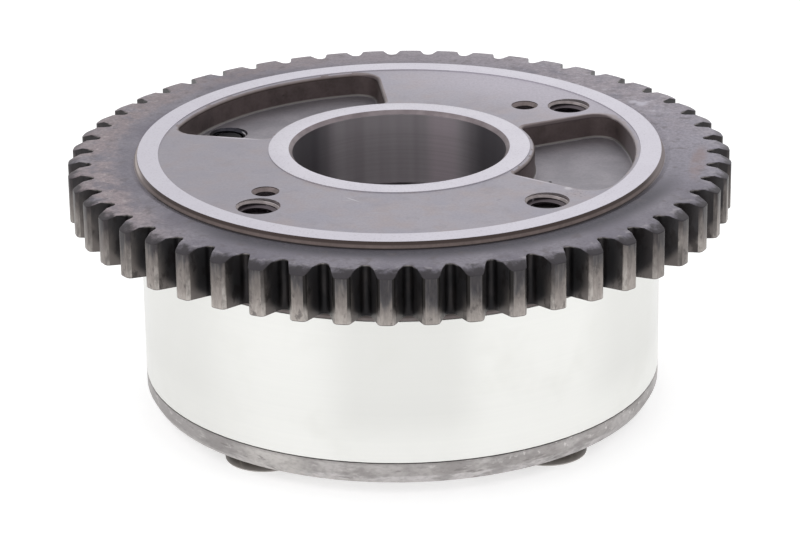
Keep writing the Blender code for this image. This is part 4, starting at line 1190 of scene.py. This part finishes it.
def sprocket_blank(sizes):
    """Sprocket with its teeth, before the pockets and holes are cut."""
    half = tooth_space(sizes)
    turn = math.pi / sizes.teeth
    columns = half + [mirrored(column, turn) for column in half[-2::-1]]
    low = (SPROCKET_LOW.z + HOUSING_HIGH.z) / 2.0
    top = SPROCKET_HIGH.z
    gear_top = top - sizes.boss_height
    gear_low = gear_top - sizes.tooth_width
    web = top - sizes.web_recess
    bore = sizes.bore_radius
    land_inner = sizes.land_radius - sizes.land_width
    slope = sizes.cone_drop / (sizes.tip_radius - sizes.cone_start)
    upper = soften([
        (bore + BORE_LOW_CHAMFER, low, 0.0),
        (bore, low + BORE_LOW_CHAMFER, 0.0),
        (bore, top - sizes.bore_chamfer, RING_ROUND),
        (bore + sizes.bore_chamfer, top, HUB_ROUND),
        (sizes.hub_radius, top, WEB_ROUND),
        (sizes.hub_radius, web, WEB_ROUND),
        (land_inner, web, WEB_ROUND),
        (land_inner, top, WEB_ROUND),
        (sizes.land_radius, top, RING_ROUND),
        (sizes.land_radius + BOSS_DRAFT, gear_top - sizes.boss_groove, BOSS_WALL_ROUND),
        (sizes.land_radius + BOSS_DRAFT + BOSS_FOOT_WIDTH, gear_top, BOSS_FOOT_ROUND),
        (sizes.root_radius - ROOT_FLAT_START, gear_top, 0.0),
        (sizes.root_radius - ROOT_FLAT_END, gear_top, 0.0),
    ])
    lower = soften([
        (sizes.root_radius - ROOT_FLAT_END, gear_low, 0.0),
        (sizes.shoulder_radius, gear_low, SHOULDER_FILLET),
        (sizes.shoulder_radius, low, SHOULDER_ROUND),
        (bore + BORE_LOW_CHAMFER, low, 0.0),
    ])
    edge = [(sizes.edge_round * across, sizes.edge_round * down) for across, down in QUARTER_ROUND]
    rows = [("turn", point.x, point.y) for point in upper]
    rows.append(("break", 0.0, 0.0))
    rows += [("top", down, across) for across, down in edge]
    rows += [("bottom", across, down) for across, down in edge]
    rows += [("turn", point.x, point.y) for point in lower]

    def face(radius):
        return gear_top - slope * max(0.0, radius - sizes.cone_start)

    def place(column, row):
        point, inward = columns[column]
        kind, first, second = rows[row]
        if kind == "turn":
            spot = point.normalized() * first
            return (spot.x, spot.y, second)
        if kind == "break":
            spot = point + inward * (sizes.edge_round + TOOTH_EDGE_MARGIN)
            spot = spot.normalized() * min(sizes.cone_start, spot.length)
            return (spot.x, spot.y, face(spot.length))
        spot = point + inward * first
        if kind == "top":
            return (spot.x, spot.y, face(spot.length) - second)
        return (spot.x, spot.y, gear_low + second)

    piece = gridded("sprocket_body", len(columns) - 1, len(rows) - 1, place)
    bpy.ops.object.mode_set(mode="EDIT")
    bpy.ops.mesh.select_all(action="SELECT")
    bpy.ops.mesh.spin(
        steps=sizes.teeth - 1, dupli=True, angle=math.tau * (sizes.teeth - 1) / sizes.teeth,
        center=(0.0, 0.0, 0.0), axis=(0.0, 0.0, 1.0),
    )
    bpy.ops.object.mode_set(mode="OBJECT")
    piece.data.transform(Matrix.Rotation(sizes.first_valley, 4, "Z"))
    return settle(piece)


def pocket_tool(sizes, start, end):
    """Kidney with a filleted foot and a flared mouth."""
    top = SPROCKET_HIGH.z
    floor = top - sizes.pocket_depth
    web = top - sizes.web_recess
    outline = kidney(
        sizes.hub_radius + POCKET_HUB_MARGIN,
        sizes.land_radius - sizes.land_width - POCKET_RIM_MARGIN, start, end,
    )
    sections = []
    for across, down in reversed(QUARTER_ROUND):
        narrowed = grow(outline, -sizes.pocket_foot * across)
        sections.append(at_height(narrowed, floor + sizes.pocket_foot * down))
    for across, down in QUARTER_ROUND:
        sections.append(at_height(grow(outline, sizes.pocket_rim * across), web - sizes.pocket_rim * down))
    sections.append(at_height(grow(outline, sizes.pocket_rim), top + CUT))
    return lofted("pocket_tool", sections)


def hole_tool(centre, radius, mouth, low, face, step=0.0, tilt=0.0):
    """Hole with a 45 degree mouth that starts a step below the face, tilt deeper at +X."""

    def ring(reach, height):
        points = circle(reach, height, centre)
        return [Vector((point.x, point.y, height - tilt * (point.x - centre[0]) / reach)) for point in points]

    sections = [
        circle(radius, low, centre),
        ring(radius, face - step - mouth),
        ring(radius + mouth, face - step),
        circle(radius + mouth, SPROCKET_HIGH.z + CUT, centre),
    ]
    return lofted("hole_tool", sections)


def in_pocket(spot):
    """Whether a hole's place lies between the ends of one of the two pockets."""
    angle = math.atan2(spot.y, spot.x)
    return any(0.0 < math.remainder(angle - start, math.tau) < end - start for start, end in POCKETS)


def cut_recesses(piece, sizes):
    """Cut the two pockets, the two pin holes and the recess of the lock pin's bush."""
    top = SPROCKET_HIGH.z
    tools = [pocket_tool(sizes, start, end) for start, end in POCKETS]
    for angle in PIN_HOLE_ANGLES:
        spot = polar(PIN_HOLE_CIRCLE, angle)
        tools.append(hole_tool(
            spot, sizes.pin_hole_radius, PIN_HOLE_MOUTH, top - PIN_HOLE_DEPTH, top - sizes.web_recess,
            PIN_HOLE_STEP,
        ))
    bush = (BUSH_LOW + BUSH_HIGH) / 2.0
    bush_radius = (BUSH_HIGH.x - BUSH_LOW.x) / 2.0 + BUSH_CLEARANCE
    tools.append(lofted("bush_tool", [
        circle(bush_radius, BUSH_LOW.z - CUT, bush),
        circle(bush_radius, BUSH_HIGH.z + BUSH_CLEARANCE, bush),
    ]))
    return combine(piece, join(*tools))


def tap_holes(piece, sizes):
    """Cut the four tapped holes and put the ridges of their threads in."""
    root = sizes.tapped_radius + THREAD_DEPTH
    taps = []
    threads = []
    for spot in BOLT_PLACES:
        if in_pocket(spot):
            face = SPROCKET_HIGH.z - sizes.pocket_depth
            mouth, step, tilt = POCKET_TAPPED_MOUTH, 0.0, 0.0
        else:
            face = SPROCKET_HIGH.z - sizes.web_recess
            mouth, step, tilt = TAPPED_MOUTH, TAPPED_STEP, TAPPED_TILT
        taps.append(hole_tool(spot, root, mouth, SPROCKET_LOW.z - CUT, face, step, tilt))
        threads.append(helix_ridge(
            "tapped_thread", spot, root + THREAD_SINK, sizes.tapped_radius,
            BOLT_HIGH.z - THREAD_BELOW_BOLT, face - step - tilt - mouth, sizes.thread_pitch,
        ))
    piece = combine(piece, join(*taps))
    return smooth(join(piece, *threads))


def hole_finishes(sizes):
    """Place, reach and finish of each hole in the sprocket's upper face."""
    reach = sizes.tapped_radius + THREAD_DEPTH + TAPPED_MOUTH + HOLE_MARGIN
    holes = []
    for number, spot in enumerate(BOLT_PLACES):
        holes.append((spot, reach, "oiled_thread" if in_pocket(spot) else f"thread_{number}"))
    for angle in PIN_HOLE_ANGLES:
        holes.append((polar(PIN_HOLE_CIRCLE, angle), sizes.pin_hole_radius + PIN_HOLE_MOUTH, "drilled"))
    return holes


def face_finish(sizes, holes):
    """The function that names the finish of a face of the sprocket from its centre and normal."""
    top = SPROCKET_HIGH.z
    web = top - sizes.web_recess
    floor = top - sizes.pocket_depth
    gear_low = top - sizes.boss_height - sizes.tooth_width
    land_inner = sizes.land_radius - sizes.land_width

    def choose(centre, normal):
        radius = math.hypot(centre.x, centre.y)
        upper = normal.z > FACES_UP
        if centre.z < gear_low - FACE_MARGIN:
            if radius > sizes.shoulder_radius - RING_ROUND:
                return "shoulder"
            return "bore" if radius < sizes.bore_radius + BORE_MARGIN else "web"
        if centre.z > top - GROUND_MARGIN:
            return "ground"
        if sizes.land_radius - WALL_MARGIN < radius < sizes.land_radius + BOSS_DRAFT + WALL_MARGIN:
            return "boss_wall"
        for spot, reach, finish in holes:
            face = floor if finish == "oiled_thread" else web
            within = math.hypot(centre.x - spot.x, centre.y - spot.y) < reach
            if within and not (upper and centre.z > face - EDGE_MARGIN):
                return finish
        if radius < sizes.bore_radius + sizes.bore_chamfer - EDGE_MARGIN:
            return "bore" if abs(normal.z) < BORE_UPRIGHT else "bore_chamfer"
        if radius < land_inner + FACE_MARGIN:
            if centre.z > web - FACE_MARGIN:
                return "web"
            if centre.z > web - sizes.pocket_rim:
                return "rim"
            return "pocket_floor" if upper else "pocket_wall"
        if abs(normal.z) < TOOTH_UPRIGHT and radius > sizes.tip_radius - sizes.tip_round:
            outward = (centre.x * normal.x + centre.y * normal.y) / radius
            return "tip" if outward > FACES_OUT else "corner"
        return "gear" if normal.z > LEANS_UP else "gap"

    return choose


class PHASER_OT_sprocket(bpy.types.Operator):
    """Model the sprocket with its teeth, pockets, holes and threads"""

    bl_idname = "phaser.sprocket"
    bl_label = "Sprocket"

    def execute(self, context):
        layout = context.scene.phaser
        sizes = layout.sprocket
        colours = layout.colours
        root = sizes.tapped_radius + THREAD_DEPTH
        piece = cut_recesses(sprocket_blank(sizes), sizes)
        piece = tap_holes(piece, sizes)
        holes = hole_finishes(sizes)
        shaded_spot = next(spot for spot, reach, finish in holes if finish == "oiled_thread")
        finishes = {
            "ground": ground_steel(colours.ground),
            "web": web_steel(colours.web),
            "gear": gear_face_steel(colours.gear),
            "tip": tooth_tip_steel(),
            "gap": tooth_gap_oxide(colours.oxide),
            "corner": worn_corner_steel(),
            "boss_wall": boss_wall_steel(colours.brown),
            "shoulder": shoulder_steel(),
            "pocket_wall": pocket_wall_steel(SPROCKET_HIGH.z - sizes.pocket_depth),
            "pocket_floor": pocket_floor_steel(),
            "rim": pocket_rim_steel(),
            "bore": bored_steel(),
            "bore_chamfer": bore_chamfer_steel(),
            "oiled_thread": shaded_thread_steel(shaded_spot),
            "drilled": drilled_steel(),
        }
        for spot, reach, finish in holes:
            if finish not in finishes:
                finishes[finish] = thread_steel(spot, root)
        paint(piece, finishes, face_finish(sizes, holes))
        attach(piece, "stator")
        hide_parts("sprocket")
        return {"FINISHED"}


class PHASER_OT_housing(bpy.types.Operator):
    """Model the turned stator housing"""

    bl_idname = "phaser.housing"
    bl_label = "Stator housing"

    def execute(self, context):
        layout = context.scene.phaser
        piece = copy_node("stator_housing", "housing_ring", layout.edges.housing)
        close_joints(piece)
        coat(piece, turned_aluminium(layout.colours.aluminium))
        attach(piece, "stator")
        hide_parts("stator_housing")
        return {"FINISHED"}


class PHASER_OT_front_plate(bpy.types.Operator):
    """Model the chamfered front plate"""

    bl_idname = "phaser.front_plate"
    bl_label = "Front plate"

    def execute(self, context):
        layout = context.scene.phaser
        piece = copy_node("front_plate", "front_plate_disc", layout.edges.plate)
        coat(piece, plate_rim_steel(layout.colours.plate))
        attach(piece, "stator")
        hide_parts("front_plate")
        return {"FINISHED"}


class PHASER_OT_bolts(bpy.types.Operator):
    """Model one housing bolt and copy it to its four places"""

    bl_idname = "phaser.bolts"
    bl_label = "Housing bolts"

    def execute(self, context):
        layout = context.scene.phaser
        sizes = layout.bolts
        root = sizes.shank_radius - BOLT_THREAD_DEPTH
        shank_top = SPROCKET_LOW.z - BOLT_SHANK_GAP
        end = BOLT_HIGH.z
        levels = [
            (sizes.head_radius - HEAD_ROUND, 0.0),
            (sizes.head_radius - HEAD_ROUND / 3.0, HEAD_ROUND / 3.0),
            (sizes.head_radius, HEAD_ROUND),
            (sizes.head_radius, sizes.head_height - HEAD_CHAMFER),
            (sizes.head_radius - HEAD_CHAMFER, sizes.head_height),
            (sizes.shank_radius, sizes.head_height),
            (sizes.shank_radius, shank_top - BOLT_SHANK_CHAMFER),
            (root, shank_top),
            (root, end - BOLT_END_CHAMFER),
            (root - BOLT_END_CHAMFER, end),
        ]
        piece = lofted("bolt_shape", [circle(radius, height) for radius, height in levels])
        lobes = []
        for step in range(DRIVE_SEGMENTS):
            angle = math.tau * step / DRIVE_SEGMENTS
            swing = sizes.socket_lobe * math.cos(DRIVE_LOBES * angle)
            lobes.append(polar(sizes.socket_radius + swing, angle))
        socket = lofted("socket_tool", [
            at_height(grow(lobes, DRIVE_CHAMFER), -CUT),
            at_height(grow(lobes, DRIVE_CHAMFER), 0.0),
            at_height(lobes, DRIVE_CHAMFER),
            at_height(lobes, sizes.socket_depth),
        ])
        piece = combine(piece, socket)
        ridge = helix_ridge(
            "bolt_thread", (0.0, 0.0), root - THREAD_SINK, sizes.shank_radius - BOLT_CREST_FLAT,
            shank_top + BOLT_SHANK_GAP, end - BOLT_THREAD_END, BOLT_PITCH,
        )
        piece = smooth(join(piece, ridge))
        coat(piece, bolt_phosphate(layout.colours.bolt))
        for number, (node, spot) in enumerate(zip(BOLT_NODES, BOLT_PLACES), start=1):
            pick(piece)
            bpy.ops.object.duplicate()
            bolt = name_new(f"bolt_{number}")
            bolt.data.transform(Matrix.Translation((spot.x, spot.y, 0.0)))
            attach(bolt, "stator")
            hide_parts(node)
        bpy.data.objects.remove(piece, do_unlink=True)
        return {"FINISHED"}


class PHASER_OT_rotor(bpy.types.Operator):
    """Model the vane rotor"""

    bl_idname = "phaser.rotor"
    bl_label = "Vane rotor"

    def execute(self, context):
        layout = context.scene.phaser
        piece = copy_node("vane_rotor", "rotor_body", layout.edges.rotor)
        coat(piece, rotor_steel())
        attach(piece, "rotor")
        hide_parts("vane_rotor")
        return {"FINISHED"}


class PHASER_OT_seals(bpy.types.Operator):
    """Finish the tip seals and their leaf springs"""

    bl_idname = "phaser.seals"
    bl_label = "Tip seals"

    def execute(self, context):
        resin = seal_resin()
        leaf = spring_wire_steel()
        for name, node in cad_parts.items():
            if "_seal_spring_" in name:
                coat(node, leaf)
            elif "_seal_" in name:
                coat(node, resin)
        return {"FINISHED"}


class PHASER_OT_lock_pin(bpy.types.Operator):
    """Finish the lock pin with its spring, plug and bush"""

    bl_idname = "phaser.lock_pin"
    bl_label = "Lock pin set"

    def execute(self, context):
        steel = hardened_steel()
        for name in ("lock_pin", "lock_pin_bush", "lock_pin_spring_seat"):
            coat(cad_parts[name], steel)
        coil = copy_node("lock_pin_spring", "lock_pin_coil")
        coat(coil, spring_wire_steel())
        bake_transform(coil)
        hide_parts("lock_pin_spring")
        return {"FINISHED"}


class PHASER_OT_stage(bpy.types.Operator):
    """Set up the pale floor, the soft light and the camera"""

    bl_idname = "phaser.stage"
    bl_label = "Stage"

    def execute(self, context):
        scene = context.scene
        scene.view_settings.view_transform = "Standard"
        deselect()
        bpy.ops.mesh.primitive_plane_add(size=FLOOR_SIZE)
        floor = name_new("floor")
        material, tree, _ = start_finish("pale_floor", 0.0, 0.9)
        surface = tree.nodes["Principled BSDF"]
        surface.inputs["Base Color"].default_value = linear("cfcfcf")
        surface.inputs["Emission Color"].default_value = linear("ffffff")
        glow = add_node(
            tree, "ShaderNodeMapRange", {"Value": seen_or_mirrored(tree), "To Max": FLOOR_GLOW}
        ).outputs[0]
        tree.links.new(glow, surface.inputs["Emission Strength"])
        coat(floor, material)

        world = bpy.data.worlds.new("studio")
        scene.world = world
        world.use_nodes = True
        tree = world.node_tree
        background = tree.nodes["Background"]
        background.inputs["Color"].default_value = linear("ffffff")
        strength = add_node(
            tree, "ShaderNodeMapRange",
            {"Value": seen_or_mirrored(tree), "To Min": WORLD_LIGHT, "To Max": 1.0},
        ).outputs[0]
        tree.links.new(strength, background.inputs["Strength"])

        for name, spot, size, power in SOFTBOXES:
            deselect()
            bpy.ops.object.light_add(type="AREA", location=spot)
            lamp = name_new(name)
            lamp.data.size = size
            lamp.data.energy = power
            towards = Vector(SOFTBOX_AIM) - Vector(spot)
            lamp.rotation_euler = towards.to_track_quat("-Z", "Y").to_euler()

        back = Vector((0.0, -math.cos(CAMERA_ELEVATION), math.sin(CAMERA_ELEVATION)))
        deselect()
        bpy.ops.object.camera_add(location=Vector(CAMERA_AIM) + back * CAMERA_DISTANCE)
        camera = name_new("photo_camera")
        camera.data.lens = CAMERA_LENS
        camera.data.clip_start = CAMERA_CLIP
        roll = Matrix.Rotation(CAMERA_ROLL, 4, "Z")
        camera.rotation_euler = ((-back).to_track_quat("-Z", "Y").to_matrix().to_4x4() @ roll).to_euler()
        scene.camera = camera
        return {"FINISHED"}


OPERATORS = (
    PHASER_OT_sprocket,
    PHASER_OT_housing,
    PHASER_OT_front_plate,
    PHASER_OT_bolts,
    PHASER_OT_rotor,
    PHASER_OT_seals,
    PHASER_OT_lock_pin,
    PHASER_OT_stage,
)


class PHASER_PT_pieces(bpy.types.Panel):
    """Buttons for the pieces, in the order in which they are made"""

    bl_label = "Cam Phaser"
    bl_space_type = "VIEW_3D"
    bl_region_type = "UI"
    bl_category = "Phaser"

    def draw(self, context):
        for operator in OPERATORS:
            self.layout.operator(operator.bl_idname)


CLASSES = (SprocketSizes, BoltSizes, EdgeSizes, FinishColours, Layout, *OPERATORS, PHASER_PT_pieces)


def register():
    for item in CLASSES:
        bpy.utils.register_class(item)
    bpy.types.Scene.phaser = PointerProperty(type=Layout)


def unregister():
    del bpy.types.Scene.phaser
    for item in reversed(CLASSES):
        bpy.utils.unregister_class(item)


def main():
    register()
    bpy.ops.phaser.sprocket()
    bpy.ops.phaser.housing()
    bpy.ops.phaser.front_plate()
    bpy.ops.phaser.bolts()
    bpy.ops.phaser.rotor()
    bpy.ops.phaser.seals()
    bpy.ops.phaser.lock_pin()
    bpy.ops.phaser.stage()


if __name__ == "__main__":
    main()
